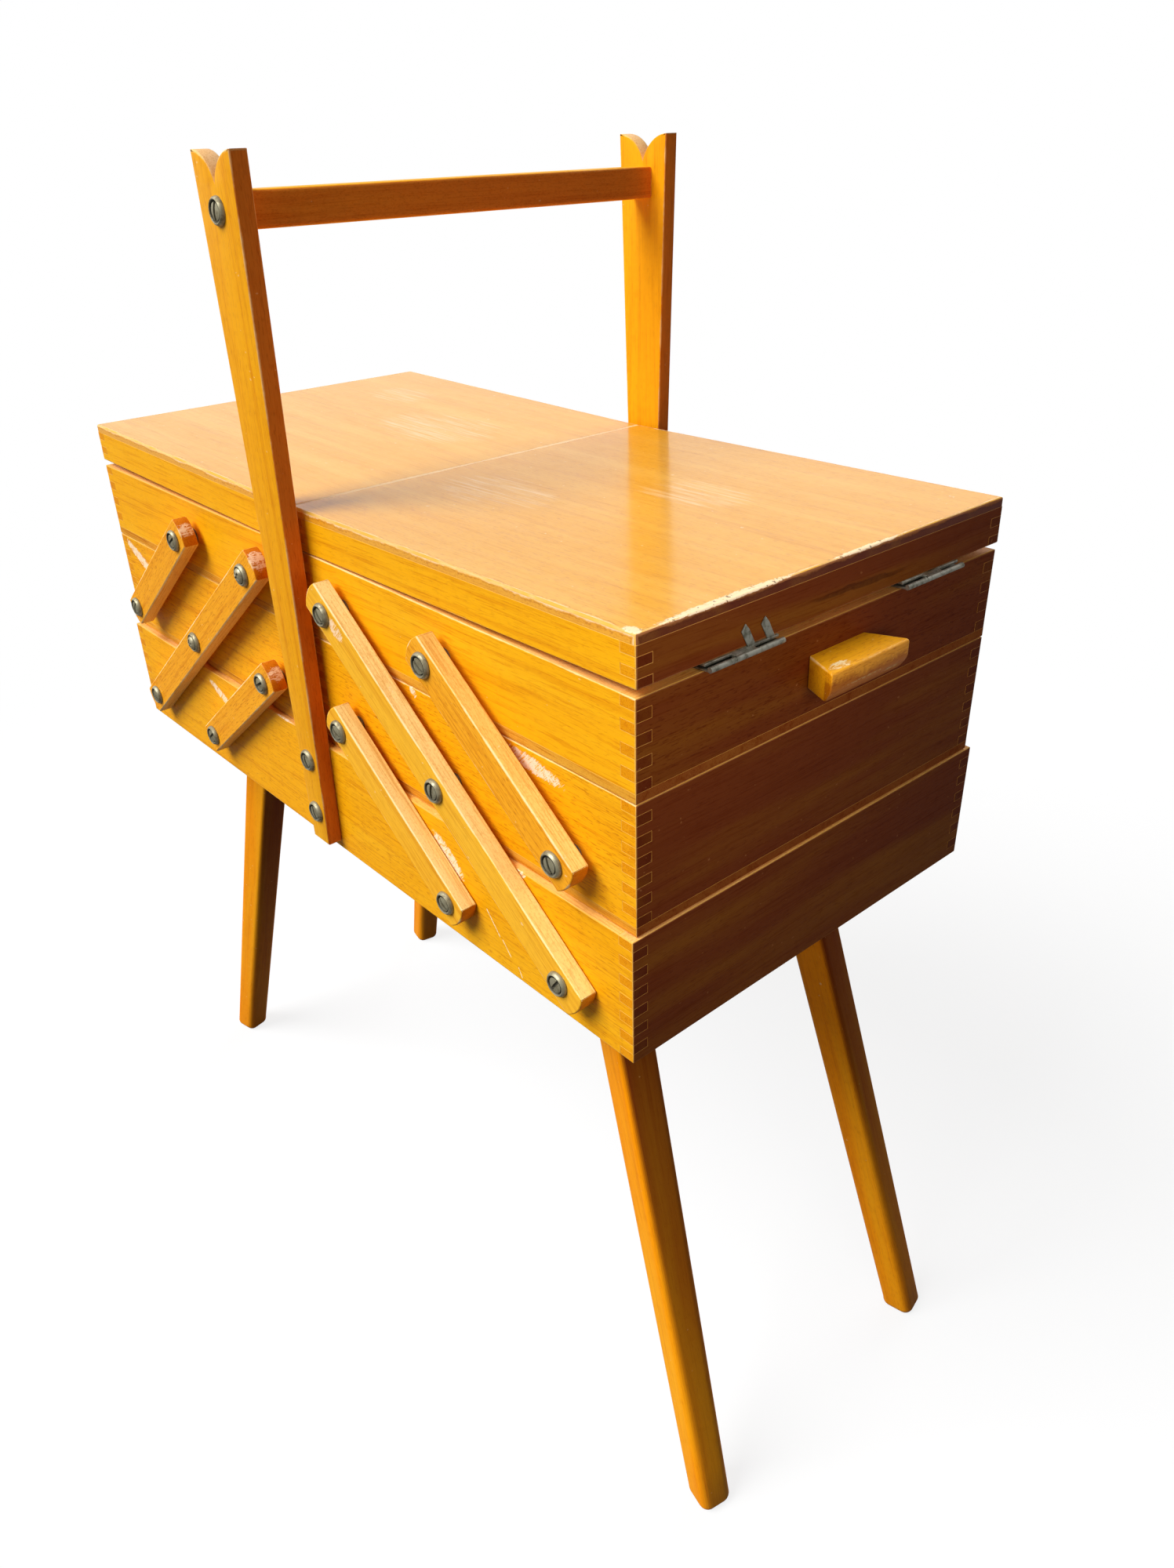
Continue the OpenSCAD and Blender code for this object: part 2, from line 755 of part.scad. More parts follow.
on_right() hinge_lid_leaves(true);  // right_hinge_lid_leaves
on_right() lid_side_rails();  // right_lid_side_rails
on_right() lid_end_rails();  // right_lid_end_rails
on_right() lid_panel();  // right_lid_panel
on_right() long_links();  // right_long_links
on_right() upper_links();  // right_upper_links
on_right() lower_links();  // right_lower_links

on_left() tray_side(FRONT, mid_z, mid_h, mid_pivots, mid_pivot_z);  // left_mid_front_board
on_left() tray_side(BACK, mid_z, mid_h, mid_pivots, mid_pivot_z);  // left_mid_back_board
on_left() tray_inner_end(mid_z, mid_h);  // left_mid_inner_end
on_left() tray_outer_end(mid_z, mid_h);  // left_mid_outer_end
on_left() tray_bottom(mid_z);  // left_mid_bottom
on_left() mid_pivot_screws();  // left_mid_pivot_screws
on_left() tray_side(FRONT, top_z, top_h, top_pivots, top_pivot_z);  // left_top_front_board
on_left() tray_side(BACK, top_z, top_h, top_pivots, top_pivot_z);  // left_top_back_board
on_left() tray_inner_end(top_z, top_h);  // left_top_inner_end
on_left() tray_outer_end(top_z, top_h);  // left_top_outer_end
on_left() tray_bottom(top_z);  // left_top_bottom
on_left() top_pivot_screws();  // left_top_pivot_screws
on_left() end_pull();  // left_end_pull
on_left() hinge_tray_leaves();  // left_hinge_tray_leaves
on_left() hinge_pins();  // left_hinge_pins
on_left() hinge_lid_leaves(false);  // left_hinge_lid_leaves
on_left() lid_side_rails();  // left_lid_side_rails
on_left() lid_end_rails();  // left_lid_end_rails
on_left() lid_panel();  // left_lid_panel
on_left() long_links();  // left_long_links
on_left() upper_links();  // left_upper_links
on_left() lower_links();  // left_lower_links
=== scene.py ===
import json
import math

import bmesh
import bpy
import numpy as np
from mathutils import Matrix, Vector

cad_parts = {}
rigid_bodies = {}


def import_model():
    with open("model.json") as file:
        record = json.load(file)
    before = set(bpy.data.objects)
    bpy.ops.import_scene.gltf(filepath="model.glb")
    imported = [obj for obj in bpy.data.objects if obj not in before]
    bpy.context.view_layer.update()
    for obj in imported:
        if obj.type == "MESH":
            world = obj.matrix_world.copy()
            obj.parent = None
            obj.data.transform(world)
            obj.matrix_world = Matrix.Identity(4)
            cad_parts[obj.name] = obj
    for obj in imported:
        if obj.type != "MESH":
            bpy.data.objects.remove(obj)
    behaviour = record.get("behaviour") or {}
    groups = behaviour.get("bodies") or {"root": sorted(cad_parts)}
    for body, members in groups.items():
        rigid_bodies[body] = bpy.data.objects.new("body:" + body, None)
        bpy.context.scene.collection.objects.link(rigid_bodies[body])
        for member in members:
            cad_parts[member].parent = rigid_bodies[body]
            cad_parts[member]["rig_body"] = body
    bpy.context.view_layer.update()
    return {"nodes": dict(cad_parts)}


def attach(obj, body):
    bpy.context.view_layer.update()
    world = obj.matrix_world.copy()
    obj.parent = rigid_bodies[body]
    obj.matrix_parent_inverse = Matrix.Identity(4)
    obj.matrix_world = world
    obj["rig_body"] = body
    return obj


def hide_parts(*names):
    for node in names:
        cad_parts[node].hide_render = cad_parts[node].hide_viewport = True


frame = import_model()
scene = bpy.context.scene
scene.view_settings.view_transform = "Standard"
mm = 0.001

# The camera stands at the right front corner and looks down on the lids.
shot = {"place": (0.4648, -0.3388, 0.6070), "turn": 49.28, "down": 29.57, "roll": -1.70, "lens": 26.568}


def placeCamera():
    turn, down, roll = (math.radians(shot[key]) for key in ("turn", "down", "roll"))
    ahead = Vector((-math.sin(turn) * math.cos(down), math.cos(turn) * math.cos(down), -math.sin(down)))
    level = Vector((math.cos(turn), math.sin(turn), 0))
    rise = level.cross(ahead)
    right = math.cos(roll) * level + math.sin(roll) * rise
    up = math.cos(roll) * rise - math.sin(roll) * level
    data = bpy.data.cameras.new("workshopCamera")
    data.lens, data.sensor_width, data.sensor_fit = shot["lens"], 36, "AUTO"
    data.clip_start, data.clip_end = 0.01, 50
    camera = bpy.data.objects.new("workshopCamera", data)
    camera.matrix_world = Matrix((right, up, -ahead)).transposed().to_4x4()
    camera.location = shot["place"]
    scene.collection.objects.link(camera)
    scene.camera = camera


placeCamera()
print("camera placed")


# Shader maths: a Wire is one output of a node, and sums on it add Math nodes.
class Wire:
    def __init__(self, bench, socket):
        self.bench, self.socket = bench, socket

    def math(self, operation, *values):
        inputs = {i: v for i, v in enumerate(values)}
        return self.bench.node("ShaderNodeMath", {"operation": operation}, inputs)

    def __add__(self, other): return self.math("ADD", self, other)
    def __radd__(self, other): return self.math("ADD", other, self)
    def __sub__(self, other): return self.math("SUBTRACT", self, other)
    def __rsub__(self, other): return self.math("SUBTRACT", other, self)
    def __mul__(self, other): return self.math("MULTIPLY", self, other)
    def __rmul__(self, other): return self.math("MULTIPLY", other, self)
    def __truediv__(self, other): return self.math("DIVIDE", self, other)
    def __rtruediv__(self, other): return self.math("DIVIDE", other, self)
    def __pow__(self, other): return self.math("POWER", self, other)
    def low(self, other): return self.math("MINIMUM", self, other)
    def high(self, other): return self.math("MAXIMUM", self, other)
    def size(self): return self.math("ABSOLUTE", self)
    def root(self): return self.math("SQRT", self)

    # Rises softly from 0 to 1 while the value goes from start to end.
    def step(self, start, end):
        sockets = {"Value": self, "From Min": start, "From Max": end}
        return self.bench.node("ShaderNodeMapRange", {"interpolation_type": "SMOOTHSTEP"}, sockets)

    def vector(self, operation, other, out=0):
        return self.bench.node("ShaderNodeVectorMath", {"operation": operation}, {0: self, 1: other}, out)

    def scaled(self, x, y, z): return self.vector("MULTIPLY", (x, y, z))
    def split(self): return self.bench.node("ShaderNodeSeparateXYZ", {}, {0: self}, (0, 1, 2))


# A Bench builds one node tree.
class Bench:
    def __init__(self, tree):
        self.tree = tree
        tree.nodes.clear()

    # Settings are set before the sockets, because some of them bring sockets in.
    def node(self, kind, settings=None, sockets=None, out=0):
        made = self.tree.nodes.new(kind)
        for key, value in (settings or {}).items():
            setattr(made, key, value)
        for key, value in (sockets or {}).items():
            target = made.inputs[key]
            if isinstance(value, Wire):
                self.tree.links.new(value.socket, target)
            elif isinstance(value, tuple) and len(value) == 3 and target.type == "RGBA":
                target.default_value = (*value, 1)
            else:
                target.default_value = value
        if isinstance(out, tuple):
            return [Wire(self, made.outputs[key]) for key in out]
        return Wire(self, made.outputs[out]) if made.outputs else None

    def attribute(self, name, out="Fac"):
        return self.node("ShaderNodeAttribute", {"attribute_name": name}, {}, out)

    def noise(self, vector, scale=1.0, detail=2.0, rough=0.5, bend=0.0):
        sockets = {"Vector": vector, "Scale": scale, "Detail": detail, "Roughness": rough,
                   "Distortion": bend}
        return self.node("ShaderNodeTexNoise", {}, sockets)

    def blend(self, first, second, amount, kind="MIX"):
        settings = {"data_type": "RGBA", "blend_type": kind, "clamp_factor": True}
        return self.node("ShaderNodeMix", settings, {0: amount, 6: first, 7: second}, 2)

    def tint(self, colour, by, amount):
        return self.blend(colour, by, amount, "MULTIPLY")

    # Whether a ray comes from the camera, from something glossy, or through glass.
    def rayKinds(self):
        kinds = ("Is Camera Ray", "Is Glossy Ray", "Is Transmission Ray")
        return self.node("ShaderNodeLightPath", {}, {}, kinds)


def newMaterial(name):
    material = bpy.data.materials.new(name)
    material.use_nodes = True
    return material, Bench(material.node_tree)


# Marks of use that the photograph shows: a middle, half sizes along x, y and z, and a lean in degrees.
marks = {
    "boards": [((163, -106, 400), (26, 1.5, 5), -7), ((104, -109, 333), (19, 1.5, 6), -38),
               ((155, -109, 348.5), (6, 1.5, 2.4), 8), ((-197, -106, 396), (28, 1.5, 5), -24),
               ((-110, -109, 338), (22, 1.5, 4), -22), ((-36, -109, 350), (12, 1.5, 1.4), 0),
               ((85, -106, 404), (4, 1.5, 2.5), -40), ((1.5, -106, 385), (1.6, 1.5, 60), 0)],
    "lids": [((219, -62, 469), (4.4, 50, 1.6), 0), ((219.5, 14, 469), (3.4, 34, 1.4), 0),
             ((216, -104, 469), (6, 4, 1.6), 0)],
    # Pale patches on the lids' tops: partly rubbed varnish, partly painted sheen.
    "rubSheenPatches": [((50, -30, 467), (50, 30, 5), 0), ((120, 25, 467), (40, 26, 5), 0),
             ((-75, 25, 467), (60, 38, 5), 0), ((-160, 60, 467), (36, 24, 5), 0)],
    "pull": [((232, -15, 434.2), (4, 9, 1.2), 0), ((235, 14, 424), (1.5, 9, 2.4), 0),
             ((235, -4, 426.5), (1.5, 19, 0.7), 0)],
    "links": [((46, -117, 424), (9, 6, 5), -37), ((80, -113, 402), (16, 4, 4), -37),
              ((150, -113, 405), (12, 4, 3.5), -37), ((172, -113, 333), (10, 4, 3), -37),
               ((-102, -113, 436), (6, 7, 7), 0), ((-26, -113, 437), (7, 7, 8), 0),
               ((-27, -113, 380), (6, 7, 7), 0)],
    "scratches": [((130, 318), (138, 308)), ((140, 307), (145, 301)), ((150, 298), (152, 294))],
}
boxFront = -0.109


# Pale chipped patches: each is an ellipsoid that leans in the plane of the front.
def scuffMask(bench, place, spots):
    x, y, z = place.split()
    total = None
    for (cx, cy, cz), (rx, ry, rz), lean in spots:
        cos, sin = math.cos(math.radians(lean)), math.sin(math.radians(lean))
        px, pz = x - cx * mm, z - cz * mm
        u, v = (px * cos + pz * sin) / (rx * mm), (pz * cos - px * sin) / (rz * mm)
        near = (u * u + v * v + ((y - cy * mm) / (ry * mm)) ** 2).step(1.0, 0.2)
        total = near if total is None else total.high(near)
    return total


# A scratch lies along a line on the front of the box, and fades from 0.15 to 0.45 mm away from it.
def scratchMask(bench, place):
    x, y, z = place.split()
    total = None
    for (x0, z0), (x1, z1) in marks["scratches"]:
        dx, dz = (x1 - x0) * mm, (z1 - z0) * mm
        px, pz = x - x0 * mm, z - z0 * mm
        t = ((px * dx + pz * dz) / (dx * dx + dz * dz)).high(0.0).low(1.0)
        far = ((px - t * dx) ** 2 + (pz - t * dz) ** 2 + (y - boxFront) ** 2).root()
        near = far.step(0.45 * mm, 0.15 * mm)
        total = near if total is None else total.high(near)
    return total


# Varnished wood. The attributes say where a point lies: grain runs along, across and through
# the wood; near and far are the distances to the faces of the box it belongs to.
def woodFinish(name, look):
    material, bench = newMaterial(name)
    grain = bench.attribute("grain", "Vector")
    near, far = bench.attribute("near", "Vector"), bench.attribute("far", "Vector")
    cut, shade, rim, tone, wear = (bench.attribute(key) for key in ("cut", "shade", "rim", "tone", "wear"))
    place = bench.node("ShaderNodeTexCoord", {}, {}, "Object")
    if look["paintedFootLight"]:   # painted light: the legs' sides are paler towards the feet
        shade = shade * (place.split()[2].step(0.0, 0.27) * 0.65 + 0.35)
    along, across, through = grain.split()

    # The grain wanders a little, so its lines aren't ruled.
    wander = (bench.noise(grain.scaled(9, 26, 26), detail=1) - 0.5) * look["wander"]
    bent = bench.node("ShaderNodeCombineXYZ", {}, {0: along, 1: across + wander, 2: through + wander})
    broad = bench.noise(bent.scaled(5, 55, 55), detail=2)
    bands = bench.noise(bent.scaled(7, 260, 260), detail=3, rough=0.6)
    fine = bench.noise(bent.scaled(34, 1500, 1500), detail=2, rough=0.6)
    rays = bench.noise(bent.scaled(260, 1900, 1900), detail=1)
    spots = bench.noise(place, scale=160, detail=3)
    pores = bench.noise(grain.scaled(900, 1900, 1900), detail=2)

    lines = fine.step(0.50, 0.68)
    dark = bands.step(0.50, 0.70)
    fleck = rays.step(look["fleckFrom"], look["fleckFrom"] + 0.09) * (1 - cut) * (1 - rim * 0.5)

    # Faces to the left and right take the side colour, which is painted shade.
    colour = bench.blend(look["face"], look["side"], shade)
    # Edge faces take the rim colour: on lids and plywood their own edge colour; on board ledges, link edges
    # and upright tops a paler wood that is partly painted light.
    colour = bench.blend(colour, look["rim"], rim * look["rimAmount"] * (1 - shade))
    streaks = broad.step(0.42, 0.78) * look["lightAmount"] * (1 - shade * 0.8)
    colour = bench.blend(colour, look["light"], streaks)
    colour = bench.tint(colour, look["line"], dark * look["bandAmount"])
    colour = bench.tint(colour, look["line"], lines * look["lineAmount"] * (1 - cut))
    colour = bench.tint(colour, look["fleck"], fleck * look["fleckAmount"] * (tone * 0.35 + 0.65))
    colour = bench.tint(colour, look["cutTint"], cut * look["cutAmount"] * (1 - rim))
    colour = bench.tint(colour, (0.74, 0.68, 0.62), cut * shade * 0.55)
    colour = bench.tint(colour, look["line"], cut.high(rim * 0.6) * pores.step(0.5, 0.66) * 0.6)
    colour = bench.tint(colour, look["toneTint"], (tone * 0.5 + 0.5) * look["toneAmount"])
    colour = bench.tint(colour, (0.86, 0.78, 0.66), spots.step(0.52, 0.75) * look["spotAmount"])

    # The edges are worn to pale wood, more in some places than in others. On the lids the
    # worn band is wide and ragged, with a darker line along it.
    closest = near.vector("MINIMUM", far).split()
    edge = closest[0] + closest[1] + closest[2] - closest[0].high(closest[1]).high(closest[2])
    patchy = bench.noise(place, scale=55, detail=3, rough=0.6)
    ragged = bench.noise(place, scale=620, detail=2)
    width = wear * mm * (patchy.step(0.34, 0.66) * 0.6 + 0.6) * (1 + (ragged - 0.5) * look["ragged"])
    ratio = edge / width
    bare = ratio.step(1.0, look["bareSoft"])
    rimLine = ratio.step(0.95, 1.05) * ratio.step(1.45, 1.2) * look["rimLine"] * ragged.step(0.35, 0.6)
    colour = bench.tint(colour, (0.62, 0.42, 0.26), rimLine)
    # On those faces the worn wood and the seams take darker copies, which are painted shade too.
    pale = bench.blend(look["pale"], look["sidePale"], shade)
    colour = bench.blend(colour, pale, bare * look["bareAmount"])
    seamColour = bench.blend(look["seam"], look["sideSeam"], shade)
    colour = bench.blend(colour, seamColour, bench.attribute("seam") * (patchy.step(0.3, 0.6) * 0.6 + 0.4))

    # Scuffs and scratches through the varnish.
    x, y, z = place.split()
    slanted = bench.node("ShaderNodeCombineXYZ", {}, {0: (x + z) * 90, 1: (x - z) * 1100, 2: y * 300})
    streaked = bench.noise(slanted, detail=3, rough=0.7)
    chipped = bench.noise(place, scale=420, detail=4, rough=0.75)
    if look["scuffs"]:
        within = scuffMask(bench, place, marks[look["scuffs"]])
        scuff = (within * look["cover"] + streaked.high(chipped)).step(0.80, 0.94)
        colour = bench.blend(colour, look["scuffColour"], scuff * 0.85)
        pits = bench.noise(place, scale=560, detail=1).step(0.66, 0.70) * within
        colour = bench.blend(colour, (0.10, 0.05, 0.02), pits * look["pitAmount"])
        bare = bare.high(scuff)
    if look["lidRubAndSheen"]:   # the lids' tops are paler in streaks along the grain: partly rubbed varnish, partly painted sheen
        rubSheenStreaks = bench.noise(place.scaled(26, 620, 620), detail=4, rough=0.7)
        rubSheenPatches = (scuffMask(bench, place, marks["rubSheenPatches"]) * 0.3 + rubSheenStreaks).step(0.72, 1.0)
        colour = bench.blend(colour, look["scuffColour"], rubSheenPatches * 0.45)
    if look["scratched"]:
        scratch = scratchMask(bench, place) * (ragged.step(0.3, 0.55) * 0.7 + 0.3)
        colour = bench.blend(colour, (1.0, 0.84, 0.50), scratch * 0.9)
        bare = bare.high(scratch)
    if look["streak"]:   # a dark flaw in the right lid's end
        flaw = ((y - 0.010) / 0.034) ** 2 + ((z - 0.4555 + y * 0.03) / 0.0016 + (patchy - 0.5) * 2.4) ** 2
        flaw = flaw.step(1.0, 0.3) * x.step(0.2, 0.21) * streaked.high(ragged)
        colour = bench.tint(colour, (0.25, 0.16, 0.12), flaw)
    if look["paintedUnderShade"]:   # painted shade: the pull's front is darker towards its lower edge, where it rounds under
        lowEdge = (z + (patchy - 0.5) * 0.006 + (ragged - 0.5) * 0.004).step(0.4315, 0.4275)
        pullShade = lowEdge * x.size().step(0.2305, 0.232)
        colour = bench.tint(colour, (0.46, 0.27, 0.14), pullShade * 0.85)

    # Tiny nicks everywhere.
    nick = bench.noise(place.scaled(1, 1, 1.6), scale=330, detail=1).step(0.765, 0.80)
    colour = bench.blend(colour, pale, nick * look["nickAmount"])

    height = fleck * -0.5 + lines * -0.25 - bare * 0.7 + spots * 0.5 + fine * 0.2
    bump = bench.node("ShaderNodeBump", {}, {"Strength": 0.35, "Distance": 0.25 * mm, "Height": height})
    rough = look["rough"] + bare * 0.28 + spots * 0.12 + lines * 0.05 + shade * 0.1
    coat = look["coat"] * (1 - bare) * (1 - shade * 0.75)
    wood = bench.node("ShaderNodeBsdfPrincipled", {}, {
        "Base Color": colour, "Roughness": rough.low(1.0), "Coat Weight": coat, "Normal": bump,
        "Coat Roughness": look["coatRough"], "Specular IOR Level": look["gloss"]})
    bench.node("ShaderNodeOutputMaterial", {}, {"Surface": wood})
    return material


# In each look, side, sidePale and sideSeam are the face, worn and seam colours darkened by painted shade.
baseWood = {
    "face": (0.945, 0.425, 0.004), "side": (0.175, 0.034, 0.006), "rim": (0.94, 0.55, 0.22),
    "rimAmount": 0.8, "light": (1.0, 0.53, 0.015), "lightAmount": 0.5, "line": (0.74, 0.50, 0.20),
    "lineAmount": 0.5, "bandAmount": 0.36, "fleck": (0.62, 0.38, 0.13), "fleckAmount": 0.7,
    "fleckFrom": 0.58, "cutTint": (0.80, 0.60, 0.40), "cutAmount": 0.62, "cover": 0.38, "toneAmount": 0.25,
    "toneTint": (0.86, 0.74, 0.52), "spotAmount": 0.3, "pale": (1.0, 0.70, 0.32),
    "sidePale": (0.40, 0.15, 0.05), "bareAmount": 0.8, "bareSoft": 0.3, "ragged": 0.6, "rimLine": 0.0,
    "seam": (0.80, 0.42, 0.06), "sideSeam": (0.34, 0.12, 0.04), "nickAmount": 0.45, "rough": 0.42,
    "coat": 0.08, "coatRough": 0.2, "gloss": 0.06, "wander": 0.004, "scuffs": None,
    "scuffColour": (1.0, 0.82, 0.62), "pitAmount": 0.0, "scratched": False, "streak": False,
    "paintedFootLight": False, "lidRubAndSheen": False, "paintedUnderShade": False,
}
finishes = {
    "board": woodFinish("boardFinish", {**baseWood, "scuffs": "boards", "scratched": True}),
    "end": woodFinish("endFinish", {**baseWood, "streak": True}),
    "lid": woodFinish("lidFinish", {
        **baseWood, "face": (0.80, 0.385, 0.022), "light": (0.87, 0.47, 0.065), "lightAmount": 0.8,
        "cover": 0.45, "rim": (0.94, 0.42, 0.02), "rimAmount": 0.9, "lineAmount": 0.26, "bandAmount": 0.22,
        "pale": (0.95, 0.74, 0.48), "coat": 0.6, "coatRough": 0.15, "gloss": 0.2, "rough": 0.38,
        "fleckAmount": 0.32, "ragged": 0.8, "bareSoft": 0.45, "rimLine": 0.5, "spotAmount": 0.15,
        "scuffs": "lids", "scuffColour": (0.98, 0.76, 0.50), "pitAmount": 0.85, "lidRubAndSheen": True}),
    "ply": woodFinish("plyFinish", {
        **baseWood, "face": (0.80, 0.38, 0.06), "side": (0.36, 0.11, 0.022), "rim": (0.74, 0.33, 0.02),
        "light": (0.88, 0.50, 0.08), "lineAmount": 0.8, "bandAmount": 0.7, "coat": 0.05, "rough": 0.55}),
    "link": woodFinish("linkFinish", {
        **baseWood, "face": (0.950, 0.490, 0.026), "rim": (1.0, 0.78, 0.34), "rimAmount": 0.95,
        "light": (0.98, 0.56, 0.05), "pale": (1.0, 0.76, 0.42), "lineAmount": 0.5, "bandAmount": 0.4,
        "fleckAmount": 0.55, "toneTint": (0.98, 0.74, 0.42), "toneAmount": 0.75, "cover": 0.36,
        # The links' cut ends are darkened: partly the end grain's own colour, partly painted shade.
        "scuffs": "links", "scuffColour": (1.0, 0.74, 0.50), "cutTint": (0.66, 0.40, 0.24),
        "cutAmount": 0.85}),
    "pull": woodFinish("pullFinish", {
        **baseWood, "side": (0.86, 0.36, 0.03), "sidePale": (1.0, 0.62, 0.26), "scuffs": "pull",
        "bandAmount": 0.5, "scuffColour": (1.0, 0.80, 0.46), "coat": 0.5, "gloss": 0.25, "rimAmount": 0.0,
        "lineAmount": 0.3, "cutTint": (1.0, 0.9, 0.8), "paintedUnderShade": True, "cover": 0.36}),
    "stand": woodFinish("uprightFinish", {
        **baseWood, "face": (0.94, 0.415, 0.006), "side": (0.80, 0.22, 0.024), "rimAmount": 0.85,
        "sidePale": (0.9, 0.5, 0.2), "fleckAmount": 0.3, "lineAmount": 0.34, "rim": (0.95, 0.62, 0.34),
        "cutTint": (1.0, 0.95, 0.9)}),
    "leg": woodFinish("legFinish", {
        **baseWood, "face": (0.94, 0.31, 0.001), "side": (0.21, 0.038, 0.004), "rimAmount": 0.0,
        "sidePale": (0.7, 0.32, 0.10), "fleckAmount": 0.25, "lineAmount": 0.28, "paintedFootLight": True}),
    "hidden": woodFinish("bearerFinish", {
        **baseWood, "face": (0.66, 0.42, 0.20), "side": (0.60, 0.36, 0.17), "rim": (0.64, 0.40, 0.19),
        "coat": 0.0, "rough": 0.6, "lineAmount": 0.5}),
}
print("wood finishes made")


# Metal: dull plating with darker tarnish, and darker and duller where the surface lies deep.
def metalFinish(name, look):
    material, bench = newMaterial(name)
    place = bench.node("ShaderNodeTexCoord", {}, {}, "Object")
    deep = bench.attribute("deep")
    cloud = bench.noise(place, scale=340, detail=4, rough=0.6)
    grit = bench.noise(place, scale=1900, detail=2)
    scored = bench.noise(place.scaled(300, 2400, 2400), detail=2)
    tarnish = cloud.step(0.42, 0.68)
    colour = bench.blend(look["metal"], look["tarnish"], tarnish * look["tarnishAmount"])
    colour = bench.blend(colour, look["deepColour"], deep * (0.55 + grit * 0.45))
    colour = bench.tint(colour, (0.6, 0.55, 0.5), grit.step(0.56, 0.74) * 0.5)
    rough = look["rough"] + tarnish * 0.22 + deep * 0.3 + scored * 0.1
    bump = bench.node("ShaderNodeBump", {}, {"Strength": 0.3, "Distance": 0.08 * mm,
                                             "Height": grit * 0.5 + cloud + scored * 0.4})
    metal = bench.node("ShaderNodeBsdfPrincipled", {}, {
        "Base Color": colour, "Metallic": (1 - deep) * look["metallic"],
        "Roughness": rough.low(1.0), "Normal": bump})
    bench.node("ShaderNodeOutputMaterial", {}, {"Surface": metal})
    return material


finishes["screw"] = metalFinish("screwFinish", {
    "metal": (0.34, 0.31, 0.20), "tarnish": (0.16, 0.13, 0.07), "tarnishAmount": 0.85,
    "deepColour": (0.012, 0.009, 0.005), "rough": 0.38, "metallic": 0.55})
finishes["hinge"] = metalFinish("hingeFinish", {
    "metal": (0.42, 0.41, 0.34), "tarnish": (0.13, 0.12, 0.08), "tarnishAmount": 0.8,
    "deepColour": (0.03, 0.025, 0.02), "rough": 0.34, "metallic": 0.8})
print("metal finishes made")


# Lids and links lean about the y axis: by how many degrees on the right, and about which point.
leans = {"lid": (-0.749, (0.223, 0, 0.4476)), "link": (36.745, (0.1865, 0, 0.316))}

# Where the screws are, in millimetres. The walls of their holes lie within "wall" of these lines.
pivots = {"x": (36.5, 111.5, 186.5), "z": (316, 372, 428), "upright": (314, 343, 582.6), "wall": 2.7}
screwLines = [(side * x, z) for side in (-1, 1) for x in pivots["x"] for z in pivots["z"]]
screwLines += [(0, z) for z in pivots["upright"]]
axisOf = {"x": (1, 0, 0), "y": (0, 1, 0), "z": (0, 0, 1)}


# The turn that brings a leaning piece's own axes onto x, y and z, and the point it is made about.
def ownAxes(order, lean, side):
    angle, about = leans[lean] if lean else (0, (0, 0, 0))
    turn = np.array(Matrix.Rotation(math.radians(-angle * side), 3, "Y"))
    return np.array([axisOf[letter] for letter in order]) @ turn, np.array(about) * (side, 1, 1)


def meshPoints(mesh):
    points = np.empty(len(mesh.vertices) * 3)
    mesh.vertices.foreach_get("co", points)
    return points.reshape(-1, 3)


# One vector for each face: its normal or its center.
def faceVectors(mesh, kind="normal"):
    vectors = np.empty(len(mesh.polygons) * 3)
    mesh.polygons.foreach_get(kind, vectors)
    return vectors.reshape(-1, 3)


# Numbers and arrays side by side, in one row for each point.
def sideBySide(count, *values):
    return np.stack([np.broadcast_to(value, count) for value in values], 1)


# How copied solids are softened: lengths in millimetres, angles in radians, shares of the rounding.
soften = {"merge": 0.005, "flat": math.radians(0.3), "corner": 0.5, "onFace": 0.02, "lidReach": 1.15,
          "joint": 0.36, "panel": 0.15, "lidSeam": 0.15}


# A CAD solid is loose triangles, so a copy of it gets its points merged first.
def mergedCopy(node):
    shape = bmesh.new()
    shape.from_mesh(frame["nodes"][node].data)
    bmesh.ops.remove_doubles(shape, verts=shape.verts, dist=soften["merge"] * mm)
    return shape


def joinFlatFaces(shape):
    bmesh.ops.dissolve_limit(shape, angle_limit=soften["flat"], verts=shape.verts, edges=shape.edges)


def meshFrom(shape, name):
    mesh = bpy.data.meshes.new(name)
    shape.to_mesh(mesh)
    shape.free()
    return mesh


